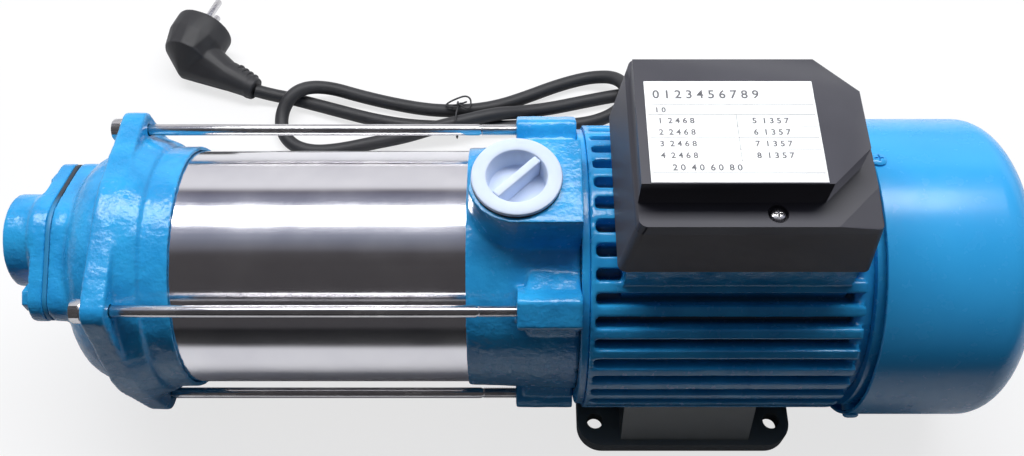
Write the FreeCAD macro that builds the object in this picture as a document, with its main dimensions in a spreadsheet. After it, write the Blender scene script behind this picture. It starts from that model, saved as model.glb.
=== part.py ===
"""Multistage centrifugal pump with its motor, terminal box and mains lead.

The row frame: the origin is the centre of the four foot holes on the face that
stands on the floor, +X points along the shaft from the pump to the fan, +Y away
from the front of the pump, and +Z up. All sizes are in millimetres. The bodies
round the shaft are drawn about their own X axis and lifted to the shaft height.
"""

import FreeCAD, Part
import math
import os
from types import SimpleNamespace

import Sketcher
from FreeCAD import Placement, Rotation, Vector

# Driving dimensions: name, size in mm (or a count, or degrees), meaning.
DIMENSIONS = (
    ("shaft_height", 80.0, "shaft axis above the floor"),
    ("pump_face_offset", 64.0, "foot centre to the joint of pump and motor"),
    ("discharge_length", 56.0, "discharge housing along the shaft"),
    ("barrel_exposed", 142.6, "stretch of barrel between the two housings"),
    ("suction_rim_length", 14.4, "rim of the suction housing round the barrel"),
    ("suction_cone_length", 10.0, "taper from the lug plate to the rim"),
    ("lug_thickness", 12.0, "lug plate of the suction housing"),
    ("neck_length", 27.0, "inlet neck in front of the lug plate"),
    ("inlet_gasket_thickness", 2.3, "gasket between inlet flange and neck"),
    ("inlet_flange_thickness", 7.2, "oval inlet flange"),
    ("stub_length", 14.5, "threaded stub in front of the inlet flange"),
    ("inlet_height", 28.0, "inlet axis above the shaft axis"),
    ("inlet_bore_radius", 15.15, "inlet thread, crest radius"),
    ("neck_bore_radius", 16.0, "water way in the inlet neck"),
    ("stub_radius", 23.8, "outside of the threaded stub"),
    ("oval_middle_radius", 25.0, "oval flange, radius at the middle"),
    ("oval_lug_radius", 12.0, "oval flange, radius at the bolts"),
    ("oval_bolt_offset", 33.0, "oval flange, middle to bolt"),
    ("inlet_bolt_radius", 4.0, "inlet bolt shank"),
    ("inlet_bolt_head", 6.9, "inlet bolt head, half its width over corners"),
    ("inlet_bolt_head_height", 5.3, "inlet bolt head height"),
    ("inlet_bolt_grip", 12.0, "inlet bolt inside the neck"),
    ("bowl_depth", 21.0, "suction bowl in front of the lug plate"),
    ("bowl_end_radius", 44.0, "flat end of the suction bowl"),
    ("bowl_radius", 62.0, "suction bowl where it meets the lug plate"),
    ("bowl_wall", 6.0, "wall of the suction bowl"),
    ("lug_plate_radius", 70.0, "lug plate between the lugs"),
    ("rod_circle_radius", 74.2, "tie rods from the shaft axis"),
    ("lug_radius", 9.0, "round end of each lug and boss"),
    ("rod_radius", 3.0, "tie rod"),
    ("rod_hole_radius", 3.4, "clearance hole for a tie rod"),
    ("rod_end_length", 10.0, "tie rod beyond the lug plate"),
    ("rod_engagement", 22.0, "tie rod inside the boss"),
    ("rod_nut_radius", 5.8, "tie rod nut, half its width over corners"),
    ("rod_nut_height", 5.0, "tie rod nut"),
    ("washer_radius", 6.2, "tie rod washer"),
    ("washer_thickness", 1.2, "tie rod washer"),
    ("rim_radius", 64.3, "outside of the suction rim"),
    ("barrel_radius", 61.9, "outside of the barrel"),
    ("barrel_wall", 2.0, "barrel sheet"),
    ("barrel_grip_suction", 14.0, "barrel inside the suction rim"),
    ("barrel_grip_discharge", 8.0, "barrel inside the discharge housing"),
    ("seal_thickness", 1.5, "flat seal under each end of the barrel"),
    ("barrel_gap", 0.3, "play between the barrel and what it slides on"),
    ("spigot_wall", 4.6, "inner rings that carry the stage stack"),
    ("stage_pitch", 24.0, "one pump stage"),
    ("stage_count", 6.0, "pump stages"),
    ("stack_overhang", 2.0, "stage stack before the discharge housing"),
    ("diffuser_wall", 2.0, "outer ring of a diffuser"),
    ("diffuser_web", 3.0, "web of a diffuser"),
    ("diffuser_eye_radius", 20.0, "water way in the diffuser web"),
    ("return_plate_offset", 14.0, "return plate from the start of its stage"),
    ("return_plate_thickness", 2.0, "return plate"),
    ("return_inner_radius", 24.0, "return vanes and plate, inner radius"),
    ("impeller_radius", 50.0, "impeller and return plate"),
    ("impeller_hub_radius", 11.0, "impeller hub"),
    ("impeller_eye_radius", 18.0, "impeller eye"),
    ("impeller_neck_reach", 2.0, "impeller neck into the stage before it"),
    ("shroud_offset", 4.0, "front shroud from the start of the stage"),
    ("shroud_thickness", 1.5, "impeller shrouds and neck"),
    ("vane_width", 5.5, "impeller vanes between the shrouds"),
    ("vane_thickness", 2.0, "impeller and diffuser vanes"),
    ("impeller_vane_count", 7.0, "vanes of an impeller"),
    ("return_vane_count", 6.0, "return vanes of a diffuser"),
    ("shaft_fit", 0.02, "play of what is keyed to the shaft"),
    ("pump_shaft_radius", 8.0, "shaft through the impellers"),
    ("shaft_nose_length", 12.0, "shaft in front of the first impeller"),
    ("impeller_nut_length", 9.0, "nut on the shaft's end"),
    ("impeller_nut_radius", 13.0, "nut, half its width over corners"),
    ("discharge_radius", 63.5, "discharge housing round the barrel"),
    ("discharge_chamber_radius", 52.0, "chamber of the discharge housing"),
    ("discharge_chamber_length", 32.0, "chamber, from the barrel's side"),
    ("discharge_wall", 8.0, "wall behind the chamber"),
    ("lantern_radius", 50.0, "recess on the motor side"),
    ("boss_length", 31.0, "bosses that the tie rods screw into"),
    ("port_offset", 31.0, "outlet axis before the motor face"),
    ("port_half_width", 23.5, "outlet block, half its width"),
    ("port_height", 86.0, "outlet deck above the shaft axis"),
    ("port_bore_radius", 15.4, "outlet thread, crest radius"),
    ("port_thread_depth", 20.0, "outlet thread"),
    ("port_water_radius", 13.0, "water way below the outlet thread"),
    ("plug_washer_thickness", 1.0, "washer under the outlet plug"),
    ("plug_flange_radius", 21.5, "outlet plug flange"),
    ("plug_flange_thickness", 2.6, "outlet plug flange"),
    ("plug_shank_length", 14.0, "outlet plug below its flange"),
    ("plug_thread_gap", 0.05, "play of the outlet plug in its thread"),
    ("plug_recess_radius", 14.2, "recess in the outlet plug"),
    ("plug_recess_depth", 11.5, "recess in the outlet plug"),
    ("plug_grip_width", 4.2, "grip bar across the recess"),
    ("seal_seat_radius", 15.3, "stationary seal ring"),
    ("seal_seat_bore", 9.0, "bore of the stationary seal ring"),
    ("seal_seat_thickness", 7.0, "stationary seal ring"),
    ("seal_head_radius", 14.0, "rotating seal head"),
    ("seal_head_length", 22.0, "rotating seal head"),
    ("bracket_step", 2.0, "front bracket inside the tips of the fins"),
    ("bracket_thickness", 4.0, "front bracket of the motor"),
    ("bracket_spigot_length", 6.0, "bracket inside the discharge housing"),
    ("bracket_hub_radius", 29.0, "bearing hub of both brackets"),
    ("bracket_hub_length", 14.0, "bearing hub behind the bracket plate"),
    ("bracket_shaft_hole", 13.0, "shaft hole of the front bracket"),
    ("spigot_play", 0.3, "play of the centring spigots"),
    ("housing_length", 135.0, "motor housing along the shaft"),
    ("fin_clearance", 4.5, "floor to the tips of the fins"),
    ("fin_depth", 9.5, "cooling fin"),
    ("housing_wall", 8.0, "motor housing between the fins"),
    ("fin_count", 40.0, "cooling fins"),
    ("fin_width", 5.6, "cooling fin"),
    ("front_collar", 2.5, "plain ring in front of the fins"),
    ("fin_gap_end", 5.0, "from the end of the fins to the end of the housing"),
    ("end_ring_step", 5.5, "plain ring behind the fins, under their tips"),
    ("stator_offset", 30.0, "stack of the motor before the foot centre"),
    ("stator_length", 80.0, "stack of the motor"),
    ("air_gap", 0.5, "between rotor and stator"),
    ("slot_count", 24.0, "stator slots"),
    ("slot_rim", 5.0, "stack outside its slots"),
    ("slot_depth", 11.0, "stator slots"),
    ("slot_lip", 4.0, "stack inside its slots"),
    ("slot_width", 4.4, "stator slots"),
    ("slot_play", 0.3, "winding inside its slot"),
    ("winding_overhang", 13.0, "end turns beyond the stack"),
    ("rotor_shaft_radius", 12.0, "shaft inside the rotor"),
    ("front_bearing_bore", 10.0, "front bearing, radius of its bore"),
    ("front_bearing_radius", 23.5, "front bearing, outer radius"),
    ("front_bearing_width", 14.0, "front bearing"),
    ("rear_bearing_bore", 8.5, "rear bearing, radius of its bore"),
    ("rear_bearing_radius", 20.0, "rear bearing, outer radius"),
    ("rear_bearing_width", 12.0, "rear bearing"),
    ("race_wall", 3.9, "bearing rings"),
    ("ball_play", 0.1, "play between ball and race"),
    ("ball_count", 8.0, "balls of a bearing"),
    ("cage_rim", 1.2, "ball cage beside the balls"),
    ("cage_half_wall", 0.7, "ball cage, half its wall"),
    ("rear_bracket_gap", 3.5, "rear bracket inside the fan cover"),
    ("rear_bracket_thickness", 8.0, "rear bracket of the motor"),
    ("rear_shaft_hole", 9.2, "shaft hole of the rear bracket"),
    ("screw_lug_gap", 0.5, "screw lugs of the rear bracket inside the fan cover"),
    ("fan_shaft_radius", 7.0, "shaft inside the cooling fan"),
    ("fan_offset", 12.0, "cooling fan behind the rear bracket"),
    ("fan_length", 24.0, "cooling fan"),
    ("fan_tip_gap", 13.5, "cooling fan inside the fan cover"),
    ("fan_hub_radius", 13.0, "cooling fan hub"),
    ("fan_disc_thickness", 2.5, "cooling fan disc"),
    ("fan_blade_thickness", 2.5, "cooling fan blades"),
    ("fan_blade_count", 8.0, "cooling fan blades"),
    ("cover_lap", 5.0, "fan cover over the rear bracket"),
    ("cover_step", 3.5, "fan cover outside the tips of the fins"),
    ("cover_wall", 1.5, "fan cover sheet"),
    ("cover_straight", 59.0, "cylinder of the fan cover"),
    ("cover_shoulder", 18.0, "rounded shoulder of the fan cover"),
    ("cover_nose", 4.0, "domed end of the fan cover"),
    ("cover_end_step", 29.0, "end of the fan cover inside its cylinder"),
    ("grille_inner_radius", 16.0, "grille slots"),
    ("grille_outer_radius", 46.0, "grille slots"),
    ("grille_slot_width", 3.4, "grille slots"),
    ("grille_slot_count", 24.0, "grille slots"),
    ("cover_screw_angle", 12.0, "first cover screw behind the top, degrees"),
    ("cover_screw_radius", 2.0, "fan cover screw"),
    ("cover_screw_head", 4.0, "fan cover screw head"),
    ("foot_length", 120.0, "foot along the shaft"),
    ("foot_width", 154.0, "foot across the shaft"),
    ("foot_plate", 10.0, "foot plate thickness"),
    ("foot_corner_radius", 14.0, "foot plate corners"),
    ("foot_hole_length_pitch", 100.0, "foot holes along the shaft"),
    ("foot_hole_inset", 14.5, "foot holes from the long edges of the foot"),
    ("foot_hole_radius", 4.5, "foot holes"),
    ("saddle_length", 72.0, "saddle along the shaft"),
    ("saddle_top", 40.0, "saddle height"),
    ("saddle_lean", 13.0, "slope of each side of the saddle"),
    ("saddle_play", 0.8, "play between the saddle and the fins"),
    ("pedestal_length", 60.0, "seat of the motor on the foot"),
    ("pedestal_width", 40.0, "seat of the motor on the foot"),
    ("pedestal_height", 7.5, "seat of the motor above the floor"),
    ("foot_pocket_inset", 10.0, "pockets from the long edges of the foot"),
    ("foot_pocket_width", 21.0, "pockets under the foot"),
    ("foot_pocket_length", 60.0, "pockets under the foot"),
    ("foot_pocket_depth", 10.0, "pockets under the foot"),
    ("foot_screw_radius", 3.0, "foot screw"),
    ("foot_screw_head", 5.0, "foot screw head"),
    ("foot_screw_head_height", 3.4, "foot screw head"),
    ("foot_screw_reach", 10.0, "foot screw inside the housing"),
    ("foot_screw_length_pitch", 44.0, "foot screws along the shaft"),
    ("foot_screw_width_pitch", 24.0, "foot screws across the shaft"),
    ("screw_play", 0.3, "play round screws and in counterbores"),
    ("box_start", -49.0, "terminal box floor, pump end"),
    ("box_length", 115.0, "terminal box floor along the shaft"),
    ("box_lean_front", 5.5, "lean of the pump end up to the ledge"),
    ("box_lean_back", 5.0, "lean of the fan end up to the ledge"),
    ("box_width", 90.0, "terminal box across the shaft"),
    ("box_seat", 2.5, "terminal box floor above the tips of the fins"),
    ("box_base_height", 34.0, "lower half of the terminal box"),
    ("box_rim_height", 6.6, "cover up to its ledge"),
    ("box_plateau_height", 15.0, "plateau above the ledge"),
    ("box_plateau_width", 66.0, "plateau across the shaft"),
    ("box_plateau_inset", 6.0, "ledge at the fan end"),
    ("box_plateau_chamfer", 18.0, "plateau corners at the fan end"),
    ("box_wall", 2.5, "terminal box walls"),
    ("box_chamfer", 20.0, "terminal box corners at the fan end"),
    ("box_round", 4.0, "terminal box corners at the pump end"),
    ("seat_inset", 4.0, "housing pad inside the outline of the box"),
    ("wire_hole_radius", 7.0, "wires from the motor to the box"),
    ("box_screw_place", 16.0, "cover screws along the shaft"),
    ("box_screw_offset", 38.5, "cover screws across the shaft"),
    ("box_screw_radius", 1.9, "cover screw"),
    ("box_screw_head", 4.2, "cover screw head"),
    ("box_screw_head_height", 2.6, "cover screw head"),
    ("box_screw_sink", 2.2, "counterbore depth in the ledge"),
    ("box_screw_reach", 12.0, "cover screw in its pillar"),
    ("pillar_radius", 4.8, "screw pillars in the box"),
    ("label_start", -39.4, "nameplate, pump end"),
    ("label_front", -32.6, "nameplate, front edge"),
    ("label_length", 74.0, "nameplate"),
    ("label_width", 53.0, "nameplate"),
    ("label_thickness", 0.5, "nameplate"),
    ("capacitor_radius", 17.0, "run capacitor"),
    ("capacitor_length", 70.0, "run capacitor"),
    ("capacitor_start", -38.0, "run capacitor"),
    ("capacitor_side", -12.0, "run capacitor"),
    ("terminal_length", 40.0, "terminal block"),
    ("terminal_width", 18.0, "terminal block"),
    ("terminal_height", 14.0, "terminal block"),
    ("terminal_start", 2.0, "terminal block"),
    ("terminal_side", 12.0, "terminal block"),
    ("gland_place", 12.0, "cord entry along the shaft"),
    ("gland_rise", 14.0, "cord entry above the floor of the box"),
    ("gland_boss_radius", 11.0, "boss of the cord entry"),
    ("gland_boss_reach", 10.0, "boss of the cord entry"),
    ("gland_body_radius", 10.0, "gland nut"),
    ("gland_body_length", 10.0, "gland nut"),
    ("gland_cone_length", 12.0, "tapered end of the gland"),
    ("gland_cone_radius", 8.4, "tapered end of the gland"),
    ("cord_radius", 4.5, "mains lead"),
    ("cord_sheath_gap", 0.5, "gland end round the lead"),
    ("hank_height", 18.0, "hank of the lead, two strands high"),
)

QUARTER = math.radians(45.0)

doc = FreeCAD.newDocument("centrifugal_pump")
sheet = doc.addObject("Spreadsheet::Sheet", "Sizes")
nodes = []


class Size:
    """A size: its value, and the sheet formula that it comes from."""

    def __init__(self, value, formula):
        self.value = value
        self.formula = formula

    def __add__(self, other):
        other = as_size(other)
        return Size(self.value + other.value, f"({self.formula} + {other.formula})")

    def __sub__(self, other):
        other = as_size(other)
        return Size(self.value - other.value, f"({self.formula} - {other.formula})")

    def __rsub__(self, other):
        return as_size(other) - self

    def __mul__(self, other):
        other = as_size(other)
        return Size(self.value * other.value, f"({self.formula} * {other.formula})")

    def __truediv__(self, other):
        other = as_size(other)
        return Size(self.value / other.value, f"({self.formula} / {other.formula})")

    def __neg__(self):
        return as_size(0.0) - self

    __radd__ = __add__
    __rmul__ = __mul__


def as_size(value):
    """A Size as it is, or a plain number as a Size."""
    if isinstance(value, Size):
        return value
    return Size(float(value), f"({value:.6f})")


def root(size):
    """The square root of a size."""
    return Size(math.sqrt(size.value), f"sqrt({size.formula})")


def fill_sheet():
    """Write the driving dimensions and return them by name."""
    found = {}
    for row, (alias, value, meaning) in enumerate(DIMENSIONS, start=1):
        sheet.set(f"A{row}", alias)
        sheet.set(f"B{row}", f"{value}")
        sheet.set(f"C{row}", meaning)
        sheet.setAlias(f"B{row}", alias)
        found[alias] = Size(value, f"Sizes.{alias}")
    doc.recompute()
    return SimpleNamespace(**found)


d = fill_sheet()

# Places along the shaft, from the fan end of the pump to its inlet.
PUMP_FACE = -d.pump_face_offset
DISCHARGE_START = PUMP_FACE - d.discharge_length
RIM_END = DISCHARGE_START - d.barrel_exposed
RIM_START = RIM_END - d.suction_rim_length
LUG_BACK = RIM_START - d.suction_cone_length
LUG_FRONT = LUG_BACK - d.lug_thickness
NECK_FRONT = LUG_FRONT - d.neck_length
GASKET_FRONT = NECK_FRONT - d.inlet_gasket_thickness
FLANGE_FRONT = GASKET_FRONT - d.inlet_flange_thickness
STUB_END = FLANGE_FRONT - d.stub_length
BOWL_FRONT = LUG_FRONT - d.bowl_depth
BARREL_START = RIM_END - d.barrel_grip_suction
BARREL_END = DISCHARGE_START + d.barrel_grip_discharge
STACK_END = DISCHARGE_START - d.stack_overhang
STACK_START = STACK_END - d.stage_pitch * d.stage_count
CHAMBER_END = DISCHARGE_START + d.discharge_chamber_length
SEAL_WALL_END = CHAMBER_END + d.discharge_wall
PORT_CENTRE = PUMP_FACE - d.port_offset

# Places along the shaft, from the pump face to the fan cover.
HOUSING_START = PUMP_FACE + d.bracket_thickness
HOUSING_END = HOUSING_START + d.housing_length
FIN_END = HOUSING_END - d.fin_gap_end
STATOR_START = -d.stator_offset
STATOR_END = STATOR_START + d.stator_length
FRONT_BEARING_START = HOUSING_START
FRONT_BEARING_END = FRONT_BEARING_START + d.front_bearing_width
REAR_BRACKET_END = HOUSING_END + d.rear_bracket_thickness
REAR_BEARING_END = HOUSING_END - 1
REAR_BEARING_START = REAR_BEARING_END - d.rear_bearing_width
COVER_START = REAR_BRACKET_END - d.cover_lap
COVER_STRAIGHT_END = COVER_START + d.cover_straight
COVER_SHOULDER_END = COVER_STRAIGHT_END + d.cover_shoulder
COVER_END = COVER_SHOULDER_END + d.cover_nose
FAN_START = REAR_BRACKET_END + d.fan_offset
FAN_END = FAN_START + d.fan_length

# Radii that fit each other.
BARREL_BORE = d.barrel_radius - d.barrel_wall
SPIGOT_RADIUS = BARREL_BORE - d.barrel_gap
SPIGOT_BORE = SPIGOT_RADIUS - d.spigot_wall
GROOVE_RADIUS = d.barrel_radius + d.barrel_gap
DIFFUSER_BORE = SPIGOT_RADIUS - d.diffuser_wall
FIN_TIP = d.shaft_height - d.fin_clearance
FIN_ROOT = FIN_TIP - d.fin_depth
END_RING_RADIUS = FIN_TIP - d.end_ring_step
HOUSING_BORE = FIN_ROOT - d.housing_wall
HOUSING_SPIGOT = HOUSING_BORE - d.spigot_play
BRACKET_RADIUS = FIN_TIP - d.bracket_step
SLOT_OUTER = HOUSING_BORE - d.slot_rim
SLOT_INNER = SLOT_OUTER - d.slot_depth
STATOR_BORE = SLOT_INNER - d.slot_lip
ROTOR_RADIUS = STATOR_BORE - d.air_gap
COVER_RADIUS = FIN_TIP + d.cover_step
COVER_BORE = COVER_RADIUS - d.cover_wall
COVER_END_RADIUS = COVER_RADIUS - d.cover_end_step
REAR_BRACKET_RADIUS = COVER_BORE - d.rear_bracket_gap
SCREW_LUG_RADIUS = COVER_BORE - d.screw_lug_gap
FAN_RADIUS = COVER_BORE - d.fan_tip_gap

# Heights above the shaft axis.
BOX_BOTTOM = FIN_TIP + d.box_seat
BOX_SPLIT = BOX_BOTTOM + d.box_base_height
BOX_LEDGE = BOX_SPLIT + d.box_rim_height
BOX_TOP = BOX_LEDGE + d.box_plateau_height
BOX_END = d.box_start + d.box_length
GLAND_HEIGHT = BOX_BOTTOM + d.gland_rise
MOTOR_SEAT = d.pedestal_height - d.shaft_height
FOOT_HOLE_PITCH = d.foot_width - d.foot_hole_inset * 2

# The lead's route over the floor, chosen by hand: gland to hank, hank to plug.
CORD_ROUTE = (
    (12.8, 80.5, 136.6), (17.0, 94.5, 121.0), (23.5, 108.0, 102.0), (31.5, 124.0, 81.5),
    (38.0, 138.5, 61.0), (40.6, 148.8, 44.7), (36.6, 157.8, 30.6), (27.4, 165.5, 18.3),
    (13.9, 171.2, 9.3), (-2.4, 174.2, 4.5), (-18.35, 173.8, 4.5),
)
LEAD_ROUTE = ((-256.7, 173.7, 4.8), (-272.5, 178.8, 7.2))
HANK_OUTLINE = (
    (-259.0, 164.3), (-252.9, 183.2), (-205.0, 180.0), (-150.0, 166.6), (-118.0, 166.6),
    (-62.0, 190.5), (-36.0, 193.0), (-18.5, 182.5), (-18.5, 152.5), (-30.0, 143.5),
    (-118.0, 140.0), (-150.0, 135.0), (-205.0, 122.5), (-236.0, 120.8), (-251.0, 130.0),
    (-257.0, 144.0),
)
PLUG_HEAD = (-320.6, 194.7, 20.3)
PLUG_WAY = (0.342, 0.940, 0.0)
PLUG_HEAD_RADIUS = 20.0
PLUG_HEAD_LENGTH = 28.0
PLUG_NECK = (-317.0, 204.5, 18.0)
PLUG_RELIEF = (-291.0, 189.5, 11.3)
PLUG_NECK_RADIUS = 15.0
PLUG_RELIEF_RADIUS = 11.0
PLUG_KNUCKLE_RADIUS = 11.4
PLUG_EXIT_RADIUS = 7.0
PIN_RADIUS = 2.4
PIN_LENGTH = 19.0
PIN_PLACE = (2.75, -1.0, 9.0)
TIE_PLACE = (-135.0, 152.5)
TIE_WIDTH = 34.0
TIE_BAND = 3.0
TIE_WIRE = 1.2


def origin_part(body, role):
    """The plane or axis of a body's origin with this role."""
    return next(part for part in body.Origin.OriginFeatures if part.Role == role)


def new_body(name):
    """A body round the shaft axis, lifted to the shaft height."""
    body = doc.addObject("PartDesign::Body", name)
    body.Label = name
    body.setExpression("Placement.Base.z", d.shaft_height.formula)
    nodes.append(body)
    return body


def new_sketch(body, role, offset=0.0):
    """An empty sketch on an origin plane of the body, moved along its normal."""
    sketch = body.newObject("Sketcher::SketchObject", f"{body.Name}_sketch")
    sketch.AttachmentSupport = (origin_part(body, role), [""])
    sketch.MapMode = "FlatFace"
    sketch.setExpression("AttachmentOffset.Base.z", as_size(offset).formula)
    return sketch


def pin_down(sketch, edge, point, x, y):
    """Hold one point of an edge at a place that the sheet gives."""
    for kind, size in (("DistanceX", x), ("DistanceY", y)):
        number = sketch.addConstraint(Sketcher.Constraint(kind, -1, 1, edge, point, size.value))
        sketch.setExpression(f"Constraints[{number}]", size.formula)


def set_radius(sketch, edge, radius):
    """Bind the radius of a circle or an arc."""
    number = sketch.addConstraint(Sketcher.Constraint("Radius", edge, radius.value))
    sketch.setExpression(f"Constraints[{number}]", radius.formula)


def arc_between(start, end, bend):
    """An arc of radius |bend|, to the left of the way for a positive bend."""
    chord = end - start
    half = chord.Length / 2
    radius = abs(bend)
    side = math.copysign(1.0, bend)
    away = math.sqrt(max(radius * radius - half * half, 0.0))
    normal = Vector(-chord.y, chord.x, 0) / chord.Length
    centre = (start + end) / 2 + normal * away * side
    angles = [math.atan2(spot.y - centre.y, spot.x - centre.x) for spot in (start, end)]
    if side < 0:
        angles.reverse()
    circle = Part.Circle(centre, Vector(0, 0, 1), radius)
    return Part.ArcOfCircle(circle, angles[0], angles[1]), side > 0


def add_outline(sketch, corners):
    """A closed outline. A corner is (x, y), or (x, y, bend) before an arc."""
    sizes = [(as_size(corner[0]), as_size(corner[1])) for corner in corners]
    bends = [as_size(corner[2]) if len(corner) > 2 else None for corner in corners]
    spots = [Vector(x.value, y.value, 0) for x, y in sizes]
    ends = []
    for index, bend in enumerate(bends):
        start, end = spots[index], spots[(index + 1) % len(spots)]
        if bend is None:
            edge = sketch.addGeometry(Part.LineSegment(start, end))
            ends.append((edge, 1, 2))
            continue
        arc, forward = arc_between(start, end, bend.value)
        edge = sketch.addGeometry(arc)
        ends.append((edge, 1, 2) if forward else (edge, 2, 1))
        set_radius(sketch, edge, bend if bend.value > 0 else -bend)
    for index, (edge, first, last) in enumerate(ends):
        following = ends[(index + 1) % len(ends)]
        sketch.addConstraint(Sketcher.Constraint("Coincident", edge, last, following[0], following[1]))
        pin_down(sketch, edge, first, *sizes[index])


def add_circle(sketch, x, y, radius):
    """A circle whose centre and radius come from the sheet."""
    x, y, radius = as_size(x), as_size(y), as_size(radius)
    circle = Part.Circle(Vector(x.value, y.value, 0), Vector(0, 0, 1), radius.value)
    edge = sketch.addGeometry(circle)
    pin_down(sketch, edge, 3, x, y)
    set_radius(sketch, edge, radius)


def turned(body, corners, subtract=False):
    """Turn an outline of (x, radius) corners about the shaft axis."""
    sketch = new_sketch(body, "XZ_Plane")
    add_outline(sketch, corners)
    kind = "PartDesign::Groove" if subtract else "PartDesign::Revolution"
    feature = body.newObject(kind, f"{body.Name}_turned")
    feature.Profile = sketch
    feature.ReferenceAxis = (sketch, ["H_Axis"])
    feature.Angle = 360
    return feature


def extruded(body, sketch, length, subtract=False):
    """Pad or cut a sketch over a length along its plane's normal."""
    kind = "PartDesign::Pocket" if subtract else "PartDesign::Pad"
    feature = body.newObject(kind, f"{body.Name}_extruded")
    feature.Profile = sketch
    feature.setExpression("Length", as_size(length).formula)
    feature.Reversed = subtract
    return feature


def across(body, start, length, draw, subtract=False):
    """Extrude what draw puts on a plane square to the shaft, from start on."""
    sketch = new_sketch(body, "YZ_Plane", start)
    draw(sketch)
    return extruded(body, sketch, length, subtract)


def upward(body, start, length, draw, subtract=False):
    """Extrude what draw puts on a level plane, from start upwards."""
    sketch = new_sketch(body, "XY_Plane", start)
    draw(sketch)
    return extruded(body, sketch, length, subtract)


def around(body, feature, count):
    """Repeat a feature round the shaft axis."""
    pattern = body.newObject("PartDesign::PolarPattern", f"{body.Name}_around")
    pattern.Originals = [feature]
    pattern.Axis = (origin_part(body, "X_Axis"), [""])
    pattern.Angle = 360
    pattern.setExpression("Occurrences", as_size(count).formula)
    body.Tip = pattern
    return pattern


def circle_at(x, y, radius):
    """A drawing of one circle."""
    return lambda sketch: add_circle(sketch, x, y, radius)


def rectangle(left, low, right, high):
    """A drawing of one rectangle."""
    return lambda sketch: add_outline(sketch, ((left, low), (right, low), (right, high), (left, high)))


def ring(inner, outer):
    """A drawing of two circles about the axis."""
    def draw(sketch):
        add_circle(sketch, 0, 0, outer)
        add_circle(sketch, 0, 0, inner)
    return draw


def rod_place(sign_y=1, sign_z=1):
    """Where a tie rod stands, seen along the shaft."""
    reach = d.rod_circle_radius * math.cos(QUARTER)
    return reach * sign_y, reach * sign_z


def lug_drawing(inner):
    """A drawing of one lug: a strip at 45 degrees with a round end."""
    step = math.cos(QUARTER)

    def corner(reach, side):
        return (reach - side) * step, (reach + side) * step

    def draw(sketch):
        start_left, start_right = corner(inner, d.lug_radius), corner(inner, -d.lug_radius)
        end_right = corner(d.rod_circle_radius, -d.lug_radius)
        tip = corner(d.rod_circle_radius + d.lug_radius, 0.0)
        end_left = corner(d.rod_circle_radius, d.lug_radius)
        add_outline(sketch, (
            start_right, (*end_right, d.lug_radius), (*tip, d.lug_radius), end_left, start_left))
    return draw


def lug_plate_drawing(inner):
    """A drawing of one lug of the plate, with its two sides tangent to the plate's own circle."""
    step = math.cos(QUARTER)
    plate = d.lug_plate_radius - 0.2
    lean = (plate - d.lug_radius) / d.rod_circle_radius
    rise = root(1 - lean * lean)

    def corner(reach, side):
        return (reach - side) * step, (reach + side) * step

    def draw(sketch):
        lug_reach = d.rod_circle_radius + d.lug_radius * lean
        lug_side = d.lug_radius * rise
        tip = corner(d.rod_circle_radius + d.lug_radius, 0.0)
        add_outline(sketch, (
            corner(inner, -lug_side), corner(plate * lean, -plate * rise),
            (*corner(lug_reach, -lug_side), d.lug_radius), (*tip, d.lug_radius),
            corner(lug_reach, lug_side), corner(plate * lean, plate * rise),
            corner(inner, lug_side)))
    return draw


def oval_drawing(grow=0.0):
    """A drawing of the two-bolt oval: four tangent lines between four arcs."""
    lug = d.oval_lug_radius + grow
    middle = d.oval_middle_radius + grow
    reach = d.oval_bolt_offset
    lean = (middle - lug) / reach
    rise = root(1 - lean * lean)
    height = d.inlet_height

    def corner(side_y, side_z, centre, radius):
        return side_y * (centre + radius * lean), height + radius * rise * side_z

    def draw(sketch):
        add_outline(sketch, (
            corner(1, -1, 0.0, middle), (*corner(1, -1, reach, lug), lug),
            corner(1, 1, reach, lug), (*corner(1, 1, 0.0, middle), middle),
            corner(-1, 1, 0.0, middle), (*corner(-1, 1, reach, lug), lug),
            corner(-1, -1, reach, lug), (*corner(-1, -1, 0.0, middle), middle)))
    return draw


def place(item, x, y, z, rotation=None):
    """Turn a primitive and bind its place, in the row frame, to the sheet."""
    item.Placement = Placement(Vector(0, 0, 0), rotation or Rotation())
    for axis, size in zip("xyz", (x, y, z)):
        item.setExpression(f"Placement.Base.{axis}", as_size(size).formula)
    return item


ALONG_X = Rotation(Vector(0, 1, 0), 90)
ALONG_Y = Rotation(Vector(1, 0, 0), -90)


def primitive(kind, sizes, x, y, z, rotation=None):
    """A primitive with its sizes and its place bound to the sheet."""
    item = doc.addObject(f"Part::{kind}", kind.lower())
    for name, size in sizes.items():
        item.setExpression(name, as_size(size).formula)
    return place(item, x, y, z, rotation)


def rod(radius, length, x, y, z, rotation=None):
    """A round bar from a point on."""
    return primitive("Cylinder", {"Radius": radius, "Height": length}, x, y, z, rotation)


def cone(start_radius, end_radius, length, x, y, z, rotation=None):
    """A round taper from a point on."""
    sizes = {"Radius1": start_radius, "Radius2": end_radius, "Height": length}
    return primitive("Cone", sizes, x, y, z, rotation)


def hexagon(radius, length, x, y, z, rotation=None):
    """A hexagon bar from a point on."""
    item = primitive("Prism", {"Circumradius": radius, "Height": length}, x, y, z, rotation)
    item.Polygon = 6
    return item


def block(length, width, height, x, y, z):
    """A block from its lowest corner on."""
    return primitive("Box", {"Length": length, "Width": width, "Height": height}, x, y, z)


def joined(items):
    """Fuse primitives."""
    fusion = doc.addObject("Part::MultiFuse", "fusion")
    fusion.Shapes = items
    return fusion


def less(base, tool):
    """Cut a tool from a base."""
    result = doc.addObject("Part::Cut", "cut")
    result.Base = base
    result.Tool = tool
    return result


def group(items):
    """Several separate solids in one object."""
    result = doc.addObject("Part::Compound", "group")
    result.Links = items
    return result


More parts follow.
